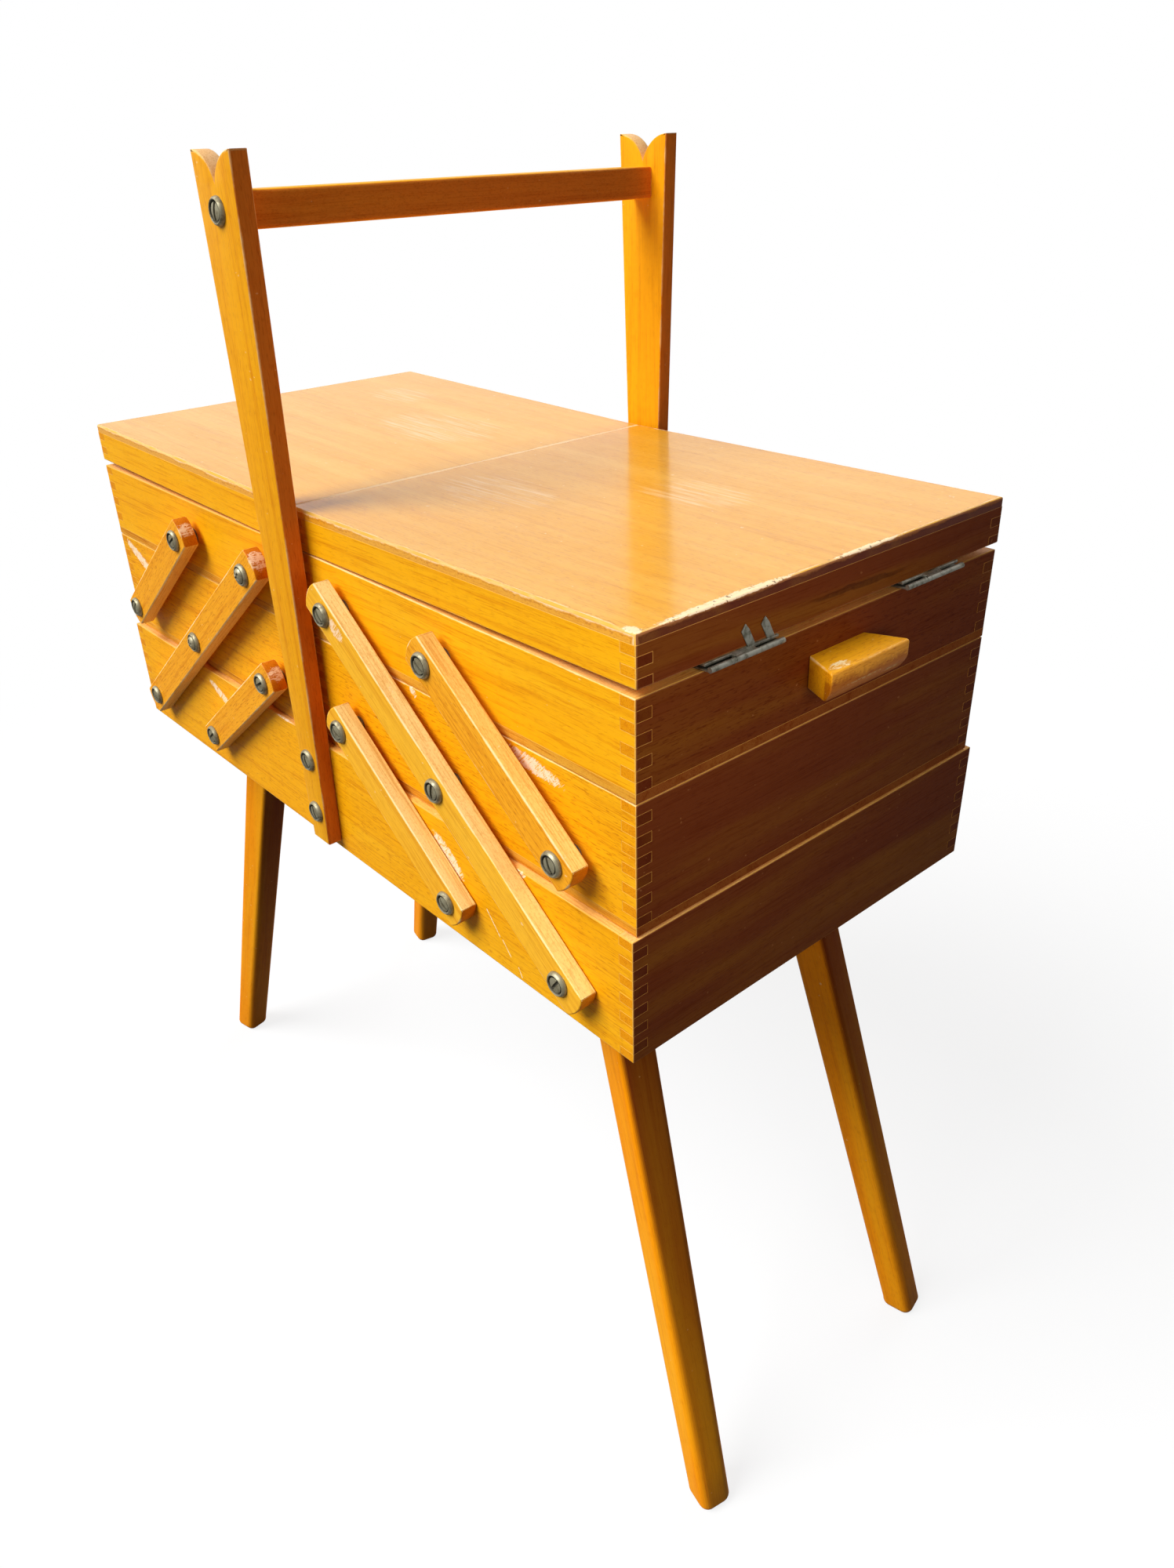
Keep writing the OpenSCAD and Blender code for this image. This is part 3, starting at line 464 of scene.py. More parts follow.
# Each row: node, finish, slot, grain order, nodes that share its box, edge radius and wear in
# millimetres, lean, whether the faces to the left and right get painted shade.
def boardRows():
    rows = []

    def add(node, finish, slot, order, group, radius, wear, lean=None, paintedSideShade=True, tone=None):
        rows.append({"node": node, "finish": finish, "slot": slot, "order": order, "group": group,
                     "radius": radius, "wear": wear, "lean": lean, "paintedSideShade": paintedSideShade, "tone": tone,
                     "seam": soften["panel" if finish == "lid" else "joint"]})

    box = ["box_front_board", "box_back_board", "box_left_end", "box_right_end", "box_bottom"]
    for node in box[:2]:
        add(node, "board", "board_beech", "xzy", box, 0.4, 0.6)
    for node in box[2:4]:
        add(node, "end", "end_beech", "yzx", box, 0.4, 0.6)
    add("box_bottom", "ply", "tray_plywood", "xyz", box, 0.2, 0.5)
    add("leg_bearers", "hidden", "hidden_beech", "yxz", ["leg_bearers"], 0.8, 0.5, paintedSideShade=False)
    add("crossbar", "stand", "stand_beech", "yxz", ["crossbar"], 0.3, 0.9, tone=-1.0)
    for side in ("right_", "left_"):
        for tier in ("mid_", "top_"):
            names = [side + tier + part for part in
                     ("front_board", "back_board", "inner_end", "outer_end", "bottom")]
            tone = -1.0 if tier == "top_" else 0.5
            for node in names[:2]:
                add(node, "board", "board_beech", "xzy", names, 0.4, 0.6, tone=tone)
            for node in names[2:4]:
                add(node, "end", "end_beech", "yzx", names, 0.4, 0.6)
            add(names[4], "ply", "tray_plywood", "xyz", names, 0.3, 0.5)
        lid = [side + "lid_" + part for part in ("side_rails", "end_rails", "panel")]
        add(lid[0], "board", "board_beech", "xzy", lid, 0.5, 0.7, "lid", tone=-1.0)
        add(lid[1], "end", "end_beech", "yzx", lid, 0.5, 0.7, "lid", tone=-1.0)
        add(lid[2], "lid", "lid_plywood", "xyz", lid, 0.9, 1.7, "lid")
        for part, tone in (("long_links", -0.8), ("upper_links", 1.0), ("lower_links", -0.6)):
            tone = tone if side == "right_" else 1.0
            add(side + part, "link", "link_beech", "xzy", [side + part], 0.55, 0.8, "link", False, tone)
    return rows


# The walls of the screw holes, which the screws and washers hide.
def nearScrew(points):
    away = (np.hypot(points[:, 0] - x * mm, points[:, 2] - z * mm) for x, z in screwLines)
    return any(np.all(each < pivots["wall"] * mm) for each in away)


# A copy of a CAD solid with its screw holes filled, and a weight on each edge that is to be
# rounded: full on the outer edges, little where the fingers of a corner joint meet.
def roundable(row, low, high, turn, about):
    mesh = mergedCopy(row["node"])
    if row["lean"] == "lid":   # the lids' inner edges all but touch
        for vert in mesh.verts:
            if abs(vert.co.x) < 3 * mm:
                vert.co.x -= math.copysign(soften["lidReach"] * mm, vert.co.x)
    walls = [face for face in mesh.faces if nearScrew(np.array([vert.co for vert in face.verts]))]
    bmesh.ops.delete(mesh, geom=walls, context="FACES")
    bmesh.ops.holes_fill(mesh, edges=[edge for edge in mesh.edges if edge.is_boundary], sides=0)
    bmesh.ops.delete(mesh, geom=[vert for vert in mesh.verts if not vert.link_faces], context="VERTS")
    joinFlatFaces(mesh)
    weight = mesh.edges.layers.float.new("bevel_weight_edge")
    jointed = len(row["group"]) > 1
    for edge in mesh.edges:
        if len(edge.link_faces) != 2 or edge.calc_face_angle(0) < soften["corner"] or not edge.is_convex:
            continue
        own = (np.array([vert.co for vert in edge.verts]) - about) @ turn.T
        onFaces = sum(bool(np.all(np.abs(own - face)[:, i] < soften["onFace"] * mm))
                      for i in range(3) for face in (low, high))
        edge[weight] = 1.0 if onFaces >= 2 or not jointed else row["seam"]
        if row["lean"] == "lid" and max(abs(vert.co.x) for vert in edge.verts) < 2 * mm:
            edge[weight] = soften["lidSeam"]
    return mesh


rows = boardRows()
for row in rows:
    side = -1 if row["node"].startswith("left") else 1
    turn, about = ownAxes(row["order"], row["lean"], side)
    cloud = np.vstack([meshPoints(frame["nodes"][node].data) for node in row["group"]])
    own = (cloud - about) @ turn.T
    row.update(turn=turn, about=about, low=own.min(0), high=own.max(0))
    if row["lean"] == "lid":
        row["low" if side > 0 else "high"][row["order"].index("x")] -= side * soften["lidReach"] * mm
    shape = roundable(row, row["low"], row["high"], turn, about)
    mesh = meshFrom(shape, row["node"] + "_rough")
    piece = bpy.data.objects.new(row["node"] + "_wood", mesh)
    scene.collection.objects.link(piece)
    soft = piece.modifiers.new("softEdges", "BEVEL")
    soft.limit_method, soft.width, soft.segments = "WEIGHT", row["radius"] * mm, 2
    soft.use_clamp_overlap = False
    row["piece"] = piece
print("boards copied", len(rows))

depsgraph = bpy.context.evaluated_depsgraph_get()
depsgraph.update()
for row in rows:
    made = bpy.data.meshes.new_from_object(row["piece"].evaluated_get(depsgraph))
    made.name = row["node"] + "_mesh"
    row["piece"].modifiers.clear()
    row["piece"].data = made
print("edges rounded")


def setAttribute(mesh, name, kind, domain, values):
    layer = mesh.attributes.get(name) or mesh.attributes.new(name, kind, domain)
    field = "vector" if kind == "FLOAT_VECTOR" else "value"
    layer.data.foreach_set(field, np.ascontiguousarray(values, dtype=np.float32).ravel())


# Only outer faces this far along, or faces this near the middle, get painted shade, in millimetres.
paintedShadeReach = {"outer": 217, "middle": 4, "softFrom": 0.45}


# Writes what the wood finish reads: own coordinates, distances to the box's faces, cut ends.
def markWood(mesh, own, ownNormals, low, high, seed, wear, paintedSideShade, normals, rim,
             turn=np.eye(3), about=np.zeros(3), jointed=False, tone=None, soft=False):
    shift = np.random.default_rng(seed).uniform(-3, 3, 3)
    setAttribute(mesh, "grain", "FLOAT_VECTOR", "POINT", own + shift)
    setAttribute(mesh, "near", "FLOAT_VECTOR", "POINT", own - low)
    setAttribute(mesh, "far", "FLOAT_VECTOR", "POINT", high - own)
    count = len(mesh.polygons)
    setAttribute(mesh, "cut", "FLOAT", "FACE", np.abs(ownNormals[:, 0]) > 0.7)
    tone = np.random.default_rng(seed + 1).uniform(-1, 1) if tone is None else tone
    setAttribute(mesh, "tone", "FLOAT", "FACE", np.full(count, tone))
    setAttribute(mesh, "wear", "FLOAT", "FACE", np.full(count, wear))
    setAttribute(mesh, "rim", "FLOAT", "FACE", rim)
    centre = faceVectors(mesh, "center")
    away = np.abs(centre[:, 0])
    outside = (away > paintedShadeReach["outer"] * mm) | (away < paintedShadeReach["middle"] * mm) | (not jointed)
    # Faces turned to the left or right get painted shade; on the legs it grows softly as they turn.
    sideways = np.abs(normals[:, 0]) > 0.7
    if soft:
        sideways = np.clip((np.abs(normals[:, 0]) - paintedShadeReach["softFrom"]) / paintedShadeReach["softFrom"], 0, 1)
    setAttribute(mesh, "shade", "FLOAT", "FACE", sideways * (outside & paintedSideShade))
    centre = (centre - about) @ turn.T
    gaps = np.sort(np.minimum(np.abs(centre - np.min(low, 0)), np.abs(centre - np.max(high, 0))), 1)
    slanted = np.abs(ownNormals).max(1) < 0.995
    setAttribute(mesh, "seam", "FLOAT", "FACE", slanted & (gaps[:, 1] > 0.8 * mm) & jointed)


for seed, row in enumerate(rows):
    piece, mesh = row["piece"], row["piece"].data
    normals = faceVectors(mesh)
    own = (meshPoints(mesh) - row["about"]) @ row["turn"].T
    ownNormals = normals @ row["turn"].T
    low, high = row["low"], row["high"]
    jointed = len(row["group"]) > 1
    # Rim faces: the tops and bottoms of jointed boards, the long edges of loose pieces; on boards and links
    # their pale colour is partly painted light.
    rim = np.abs(ownNormals[:, 1]) > 0.7
    if not jointed:
        rim = (np.abs(ownNormals[:, 2]) < 0.7) & (np.abs(ownNormals[:, 0]) < 0.8)
    markWood(mesh, own, ownNormals, low, high, seed * 7, row["wear"], row["paintedSideShade"], normals, rim,
             row["turn"], row["about"], jointed, row["tone"])
    mesh.polygons.foreach_set("use_smooth", np.abs(ownNormals).max(1) < math.cos(math.radians(3)))
    mesh.materials.clear()
    mesh.materials.append(finishes[row["finish"]])
    mesh.update()
    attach(piece, frame["nodes"][row["node"]]["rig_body"])
    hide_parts(row["node"])
print("boards finished")


# New surfaces are built from points in rows and columns.
def gridFaces(rowCount, columnCount, closed):
    across = columnCount if closed else columnCount - 1
    r, c = np.meshgrid(np.arange(rowCount - 1), np.arange(across), indexing="ij")
    here, below, n = r * columnCount, (r + 1) * columnCount, (c + 1) % columnCount
    return np.stack([here + c, here + n, below + n, below + c], -1).reshape(-1, 4)


def buildMesh(name, points, faces, smooth=True):
    mesh = bpy.data.meshes.new(name)
    mesh.from_pydata(np.asarray(points).tolist(), [], [list(map(int, face)) for face in faces])
    mesh.validate()
    mesh.polygons.foreach_set("use_smooth", np.full(len(mesh.polygons), smooth))
    mesh.update()
    return mesh


def addPiece(name, mesh, finish, slotName, body, *nodes):
    mesh.materials.append(finishes[finish])
    piece = bpy.data.objects.new(name, mesh)
    scene.collection.objects.link(piece)
    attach(piece, body)
    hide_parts(*nodes)
    return piece


# Legs: a rounded square that shrinks towards the foot and ends in a quarter-round, worn flat.
leg = {"foot": (245, 82), "top": (156, 63), "under": 274, "full": 292, "rise": 4.4,
       "footHalf": (3.903, 3.5), "topHalf": (7.474, 7.0), "footRound": 5.0, "topRound": 3.0,
       "tenon": 7.1, "corner": 8, "rings": 14, "wood": (8.9, 10.5), "flatter": 0.96, "ends": (-20, 400)}


def legPoints(lean):
    corner = leg["corner"]
    turn = np.linspace(0, math.pi / 2, corner)
    around = np.concatenate([turn + i * math.pi / 2 for i in range(4)])
    signs = np.repeat([(1, 1), (-1, 1), (-1, -1), (1, -1)], corner, axis=0)
    circle = np.stack([np.cos(around), np.sin(around)], 1)
    rings, own = [], []

    def ring(z, centre, half, radius):
        flat = signs * half + circle * radius
        x = centre[0] + flat[:, 0] * math.cos(lean) - flat[:, 1] * math.sin(lean)
        y = centre[1] + flat[:, 0] * math.sin(lean) + flat[:, 1] * math.cos(lean)
        rings.append(sideBySide(len(x), x, y, z))
        own.append(sideBySide(len(x), z, *flat.T))

    foot, top = np.array(leg["foot"], float), np.array(leg["top"], float)
    joint = top + (foot - top) * (1 - leg["under"] / leg["full"])
    footHalf, topHalf = np.array(leg["footHalf"]), np.array(leg["topHalf"])
    last = math.asin(leg["rise"] / leg["footRound"])
    ring(0, foot, footHalf * 0.3, 0.3)
    for angle in np.linspace(last, 0, 8)[:-1]:
        drop, radius = leg["footRound"] * math.sin(angle), leg["footRound"] * math.cos(angle)
        ring(leg["rise"] - drop, foot, footHalf, radius)
    for t in np.linspace(0, 1, leg["rings"]):
        ring(leg["rise"] + t * (leg["under"] - leg["rise"]), foot + t * (joint - foot),
             footHalf + t * (topHalf - footHalf), leg["footRound"] + t * (leg["topRound"] - leg["footRound"]))
    for z, centre in ((leg["under"], joint), (leg["full"], top)):
        ring(z, centre, (0, 0), 1)
        rings[-1][:, :2] = centre + (rings[-1][:, :2] - centre) * leg["tenon"]
    return np.vstack(rings) * mm, np.vstack(own) * mm, len(rings), 4 * corner


splayLean = math.atan2(leg["foot"][1] - leg["top"][1], leg["foot"][0] - leg["top"][0])
for endName, sx in (("left", -1), ("right", 1)):
    for faceName, sy in (("front", -1), ("rear", 1)):
        points, own, ringCount, perRing = legPoints(splayLean)
        faces = gridFaces(ringCount, perRing, True)
        caps = [np.arange(perRing)[::-1], np.arange((ringCount - 1) * perRing, ringCount * perRing)]
        points = points * (sx, sy, 1)
        if sx * sy < 0:
            faces, caps = faces[:, ::-1], [cap[::-1] for cap in caps]
        name = f"{faceName}_{endName}_leg"
        mesh = buildMesh(name + "_mesh", points, [*faces, *caps])
        normals = faceVectors(mesh)
        half = np.interp(own[:, 0], [0, leg["under"] * mm], [size * mm for size in leg["wood"]])
        low, high = (sideBySide(len(own), end * mm, way * half, way * half * leg["flatter"])
                     for end, way in zip(leg["ends"], (-1, 1)))
        # The legs' sides get painted shade.
        markWood(mesh, own, normals[:, [2, 0, 1]], low, high, 900 + 10 * sx + sy, 0.8, True, normals,
                 np.zeros(len(normals)), soft=True)
        addPiece(name + "_wood", mesh, "leg", "stand_beech", "stand", name)
print("legs made")


# A plate is a closed outline carried from one face to the other. Near the faces it is drawn
# in along a quarter circle, so that every edge is rounded. Returns outline rings and depths.
def plateRings(outline, radius, thick, steps=3):
    ahead = np.roll(outline, -1, 0) - outline
    ahead /= np.linalg.norm(ahead, axis=1)[:, None]
    outward = np.stack([ahead[:, 1], -ahead[:, 0]], 1)
    before = np.roll(outward, 1, 0)
    mitre = (outward + before) / (1 + (outward * before).sum(1))[:, None]
    angle = np.linspace(0, math.pi / 2, steps + 1)
    drawn = radius * (1 - np.sin(angle))
    depth = radius * (1 - np.cos(angle))
    drawn, depth = np.concatenate([drawn, drawn[::-1]]), np.concatenate([depth, thick - depth[::-1]])
    return outline[None] - drawn[:, None, None] * mitre[None], depth


# Uprights: tapered boards. The top is two arcs that rise from the notch to the outer corners.
upright = {"low": 297, "high": 603.6, "footHalf": 7.1, "topHalf": 16.2, "notch": 11.5, "thick": 7.7,
           "radius": 0.7, "arc": 12, "faces": {"front_upright": -116.7, "rear_upright": 109}}


def uprightMesh(name, faceY):
    u = upright
    arcRadius = (u["topHalf"] ** 2 + u["notch"] ** 2) / (2 * u["notch"])
    start = math.acos(-u["topHalf"] / arcRadius)
    angle = np.linspace(start, math.pi / 2, u["arc"] + 1)
    arcHigh = u["high"] - arcRadius
    lobe = np.stack([u["topHalf"] + arcRadius * np.cos(angle), arcHigh + arcRadius * np.sin(angle)], 1)
    levels = lobe[:-1, 1]
    half = np.interp(levels, [u["low"], u["high"]], [u["footHalf"], u["topHalf"]])
    side = np.stack([half, levels], 1)
    flip = np.array([-1, 1])
    foot = np.array([[-u["footHalf"], u["low"]], [u["footHalf"], u["low"]]])
    outline = np.vstack([foot, side, lobe[-1:], lobe[-2:0:-1], lobe[:1],
                         lobe[1:-1] * flip, lobe[-1:] * flip, side[::-1] * flip])
    rings, depth = plateRings(outline, u["radius"], u["thick"])
    count, n = len(outline), u["arc"]
    across, up = rings[:, :, 0], rings[:, :, 1]
    points = np.stack([across, np.broadcast_to(depth[:, None] + faceY, across.shape), up], -1)
    sides = np.arange(2, 2 + n)   # the right side from the notch's level up
    tip, notch = 2 + n, 2 + 2 * n
    lobes = np.concatenate([[notch], np.arange(notch - 1, tip, -1)])

    def mirrored(index):
        return (notch * 2 - index) % count

    cap = [[0, 1, sides[0], notch, mirrored(sides[0])]]
    for j in range(n - 1):
        cap.append([lobes[j], sides[j], sides[j + 1], lobes[j + 1]])
        cap.append([mirrored(i) for i in cap[-1][::-1]])
    cap.append([lobes[n - 1], sides[n - 1], tip])
    cap.append([mirrored(i) for i in cap[-1][::-1]])
    back = [[i + (len(depth) - 1) * count for i in face[::-1]] for face in cap]
    faces = gridFaces(len(depth), count, True)
    mesh = buildMesh(name + "_mesh", points.reshape(-1, 3) * mm, [*faces[:, ::-1], *cap, *back])
    normals = faceVectors(mesh)
    own = meshPoints(mesh)[:, [2, 0, 1]]
    half = np.interp(own[:, 0], [u["low"] * mm, u["high"] * mm], [u["footHalf"] * mm, u["topHalf"] * mm])
    crest = arcHigh * mm + np.sqrt((arcRadius * mm) ** 2 - (u["topHalf"] * mm - np.abs(own[:, 1])) ** 2)
    low = sideBySide(len(own), u["low"] * mm, -half, faceY * mm)
    high = sideBySide(len(own), crest, half, faceY * mm + u["thick"] * mm)
    # Faces that look up take the pale rim colour, partly painted light, and no painted shade.
    upward = (normals[:, 2] > 0.25) & (np.abs(normals[:, 1]) < 0.5)
    markWood(mesh, own, normals[:, [2, 0, 1]], low, high, 700 + round(faceY), 0.8, ~upward, normals, upward)
    mesh.polygons.foreach_set("use_smooth", np.abs(normals[:, 1]) < 0.999)
    mesh.set_sharp_from_angle(angle=math.radians(40))
    return mesh


for node, faceY in upright["faces"].items():
    addPiece(node + "_wood", uprightMesh(node, faceY), "stand", "stand_beech", "stand", node)
print("uprights made")

# Pulls: wider at the front than at the tray, with the front face rounded under.
pull = {"out": 16, "rootHalf": 17, "frontHalf": 24, "top": 434, "face": 219.5, "radius": 0.8, "tall": 13,
        "sunk": 4,
        "profile": [(0, -13), (11.4, -13), (12.6, -12.6), (13.9, -11.2), (15.0, -9.4), (15.7, -7.9),
                    (16, -6.4), (16, -1.2), (15.7, -0.4), (15, 0), (0, 0)]}


def pullMesh(name, side):
    p = pull
    rings, depth = plateRings(np.array(p["profile"], float), p["radius"], 2 * p["rootHalf"])
    x, z = rings[:, :, 0], rings[:, :, 1] + p["top"]
    reach = p["rootHalf"] + (p["frontHalf"] - p["rootHalf"]) * x / p["out"]
    t = (depth - p["rootHalf"]) / p["rootHalf"]
    y = t[:, None] * reach
    count, last = x.shape[1], len(depth) - 1
    points = np.stack([side * (x + p["face"]), y, z], -1).reshape(-1, 3) * mm
    ring = np.arange(count)
    faces = [*gridFaces(len(depth), count, True)[:, ::-1], ring, (ring + last * count)[::-1]]
    if side < 0:
        faces = [face[::-1] for face in faces]
    mesh = buildMesh(name + "_mesh", points, faces)
    normals = faceVectors(mesh)
    own = meshPoints(mesh)[:, [1, 2, 0]] * (1, 1, side)
    reach = reach.reshape(-1) * mm
    low = sideBySide(len(own), -reach, (p["top"] - p["tall"]) * mm, (p["face"] - p["sunk"]) * mm)
    high = sideBySide(len(own), reach, p["top"] * mm, (p["face"] + p["out"]) * mm)
    markWood(mesh, own, normals[:, [1, 2, 0]], low, high, 750 + side, 0.9, True, normals,
             np.zeros(len(normals)))
    mesh.set_sharp_from_angle(angle=math.radians(40))
    return mesh


for word, side in (("right", 1), ("left", -1)):
    node = word + "_end_pull"
    addPiece(node + "_wood", pullMesh(node, side), "pull", "board_beech", word + "_top_tray", node)
print("pulls made")

# Screws: every head sits in a cup washer, and the shank runs on into the wood.
screw = {"head": 3.3, "dome": 0.45, "drop": 0.45, "slot": 1.25, "slotDeep": 1.0, "cone": 0.9, "shank": 2.2,
         "washer": 5.5, "washerHigh": 1.9, "crown": 4.5, "cupFloor": 0.5, "spacer": 3.2, "sleeve": 3.8,
         "hole": 2.25, "edge": 0.35, "crossed": ((-36.5, 428), (-111.5, 372)), "board": 7.5, "stop": 1.0,
         "seat": 117.4, "uprightSeat": 116.7, "trayFace": 106, "boxFace": 109}


# Revolves a profile of (radius, height) pairs. It closes because its first and last points meet.
def revolved(profile, around=40):
    angle = np.linspace(0, 2 * math.pi, around, endpoint=False)
    radius, height = np.asarray(profile, float).T
    points = np.stack([radius[:, None] * np.cos(angle), radius[:, None] * np.sin(angle),
                       np.repeat(height[:, None], around, 1)], -1)
    return points.reshape(-1, 3), gridFaces(len(profile), around, True)[:, ::-1]


# The washer's crown: outside a slope with a slight bow, inside a quarter ellipse into the cup.
def washerSurface():
    s = screw
    a = np.linspace(0, math.pi / 2, 7)
    bow = 0.16 * np.sin(2 * a)
    outer = np.stack([s["washer"] + (s["crown"] - s["washer"]) * a / a[-1] + bow,
                      s["edge"] + (s["washerHigh"] - s["edge"]) * a / a[-1] + bow * 0.7], 1)
    inner = np.stack([s["crown"] - 0.7 * np.sin(a[1:]), s["washerHigh"] - 1.1 * (1 - np.cos(a[1:]))], 1)
    profile = np.vstack([[(s["hole"], 0), (s["washer"], 0)], outer, inner,
                         [(s["hole"], s["cupFloor"]), (s["hole"], 0)]])
    points, faces = revolved(profile)
    deep = np.clip((4.3 - np.hypot(points[:, 0], points[:, 1])) / 0.25, 0, 1)
    return points, faces, deep


# The head is cut into columns along the slot. Each column is a chord of the disc, and the
# columns at the slot's two sides come twice, so that its walls stand straight.
def slottedSurface(depth):
    s = screw
    radius, base = s["head"], s["washerHigh"] - s["drop"]
    domeRadius = (radius ** 2 + s["dome"] ** 2) / (2 * s["dome"])
    wall = s["slot"] / 2
    bulge = radius * np.sin(np.linspace(0, math.pi / 2, 7))
    out = bulge[bulge > wall + 0.1]
    columns = np.concatenate([-out[::-1], [-wall - 0.04, -wall + 0.04, 0, wall - 0.04, wall + 0.04], out])
    t = np.sin(np.linspace(-math.pi / 2, math.pi / 2, 13))
    x = np.repeat(columns[:, None], len(t), 1)
    y = np.sqrt(np.clip(radius ** 2 - x ** 2, 1e-6, None)) * t
    r2 = x ** 2 + y ** 2
    z = base + np.sqrt(np.clip(domeRadius ** 2 - r2, 0, None)) - (domeRadius - s["dome"])
    inSlot = np.abs(x) < wall
    z = np.where(inSlot, np.minimum(z, base + s["dome"] - s["slotDeep"]), z)
    points = np.stack([x, y, z], -1).reshape(-1, 3)
    rowsOf, per = len(columns), len(t)
    faces = gridFaces(rowsOf, per, False)[:, ::-1]
    index = np.arange(rowsOf * per).reshape(rowsOf, per)
    rim = np.concatenate([index[:, -1], index[::-1, 0]])
    rimPoints = points[rim]
    neck = s["shank"] / radius
    loops = [rimPoints * (scale, scale, 0) + (0, 0, level)
             for scale, level in ((neck, base - s["cone"]), (neck, -depth), (0.02, -depth))]
    start = len(points)
    points = np.vstack([points, *loops])
    tiers = [rim] + [start + i * len(rim) + np.arange(len(rim)) for i in range(len(loops))]
    strips = [np.stack([a, b, np.roll(b, -1), np.roll(a, -1)], 1) for a, b in zip(tiers, tiers[1:])]
    deep = np.concatenate([inSlot.ravel(), np.full(len(points) - start, 0.8)])
    return points, np.vstack([faces, *strips]), deep


# A crosshead: a polar disc, pressed in where it lies within the cross.
def crossheadSurface(depth):
    s = screw
    base = s["washerHigh"] - s["drop"] + 0.4
    radius = 3.7
    r = np.linspace(1, 0, 15)[:, None] * radius
    angle = np.linspace(0, 2 * math.pi, 64, endpoint=False)[None, :]
    x, y = r * np.cos(angle), r * np.sin(angle)
    z = base + 1.5 * (1 - (r / radius) ** 3.2) + 0 * x
    arm = np.minimum(np.abs(x), np.abs(y))
    press = np.clip((0.55 - arm) / 0.2, 0, 1) * np.clip((2.3 - r) / 0.35, 0, 1)
    z = z - press * (0.4 + 0.8 * (1 - r / 2.6))
    top = np.stack([x, y, z], -1).reshape(-1, 3)
    profile = [(s["shank"], -depth), (s["shank"], base - 0.7), (radius - 0.1, base - 0.35)]
    skirt = [np.stack([q * np.cos(angle[0]), q * np.sin(angle[0]), np.full(64, h)], 1) for q, h in profile]
    points = np.vstack([*skirt, top])
    faces = gridFaces(len(skirt) + 15, 64, True)
    deep = np.concatenate([np.full(len(skirt) * 64, 0.8), press.ravel() * 0.9])
    return points, faces, deep


def spacerSurface():
    s = screw
    hole, out, high = s["hole"], s["sleeve"], s["spacer"]
    points, faces = revolved([(hole, 0), (out, 0), (out, high), (hole, high), (hole, 0)], 32)
    return points, faces, np.full(len(points), 0.6)


# Every screw of a node in one mesh, from rows of x, z, which face, slot angle, depth, seat, and
# whether it is a crosshead and has a spacer.
def screwMesh(name, places):
    points, faces, deeps, count = [], [], [], 0
    for x, z, out, angle, depth, seat, crossed, spaced in places:
        side = -1 if x < 0 else 1
        slotWay = np.array([side * math.cos(math.radians(angle)), 0, -math.sin(math.radians(angle))])
        outWay = np.array([0, out, 0])
        axes = np.array([np.cross(slotWay, outWay), slotWay, outWay])
        head = crossheadSurface(depth) if crossed else slottedSurface(depth)
        parts = [(washerSurface(), seat), (head, seat)]
        if spaced:
            parts.append((spacerSurface(), screw["trayFace"]))
        for (own, quads, deep), level in parts:
            points.append(own @ axes + (x, out * level, z))
            faces.append(quads + count)
            deeps.append(deep)
            count += len(own)
    mesh = buildMesh(name, np.vstack(points) * mm, np.vstack(faces))
    setAttribute(mesh, "deep", "FLOAT", "POINT", np.concatenate(deeps))
    shape = bmesh.new()
    shape.from_mesh(mesh)
    bmesh.ops.remove_doubles(shape, verts=shape.verts, dist=1e-6)
    bmesh.ops.recalc_face_normals(shape, faces=shape.faces)
    shape.to_mesh(mesh)
    shape.free()
    mesh.set_sharp_from_angle(angle=math.radians(38))
    return mesh


def screwRows():
    s = screw
    inside = s["board"] - s["stop"]
    fromTray, fromBox = s["seat"] - s["trayFace"] + inside, s["seat"] - s["boxFace"] + inside
    low, mid, top = pivots["z"]
    inner, second, outer = pivots["x"]
    groups = {"box_pivot_screws": ("stand", [
        (side * x, low, out, angle, fromBox, s["seat"], False, False)
        for side in (-1, 1) for out in (-1, 1) for x, angle in ((second, 40), (outer, 125))])}
    for side, word in ((1, "right_"), (-1, "left_")):
        for tier, z, turns in (("mid", mid, ((inner, 30), (second, 95), (outer, 65))),
                               ("top", top, ((inner, 50), (second, 35)))):
            groups[f"{word}{tier}_pivot_screws"] = (f"{word}{tier}_tray", [
                (side * x, z, out, angle, fromTray, s["seat"],
                 out < 0 and (side * x, z) in s["crossed"], True)
                for out in (-1, 1) for x, angle in turns])
    groups["upright_screws"] = ("stand", [
        (0, z, out, angle, depth, s["uprightSeat"], False, False) for out in (-1, 1)
        for z, angle, depth in zip(pivots["upright"], (70, 70, 100), (14.2, 14.2, 36.7))])
    return groups


for node, (body, places) in screwRows().items():
    addPiece(node + "_metal", screwMesh(node + "_mesh", places), "screw", "screw_metal", body, node)
print("screws made")


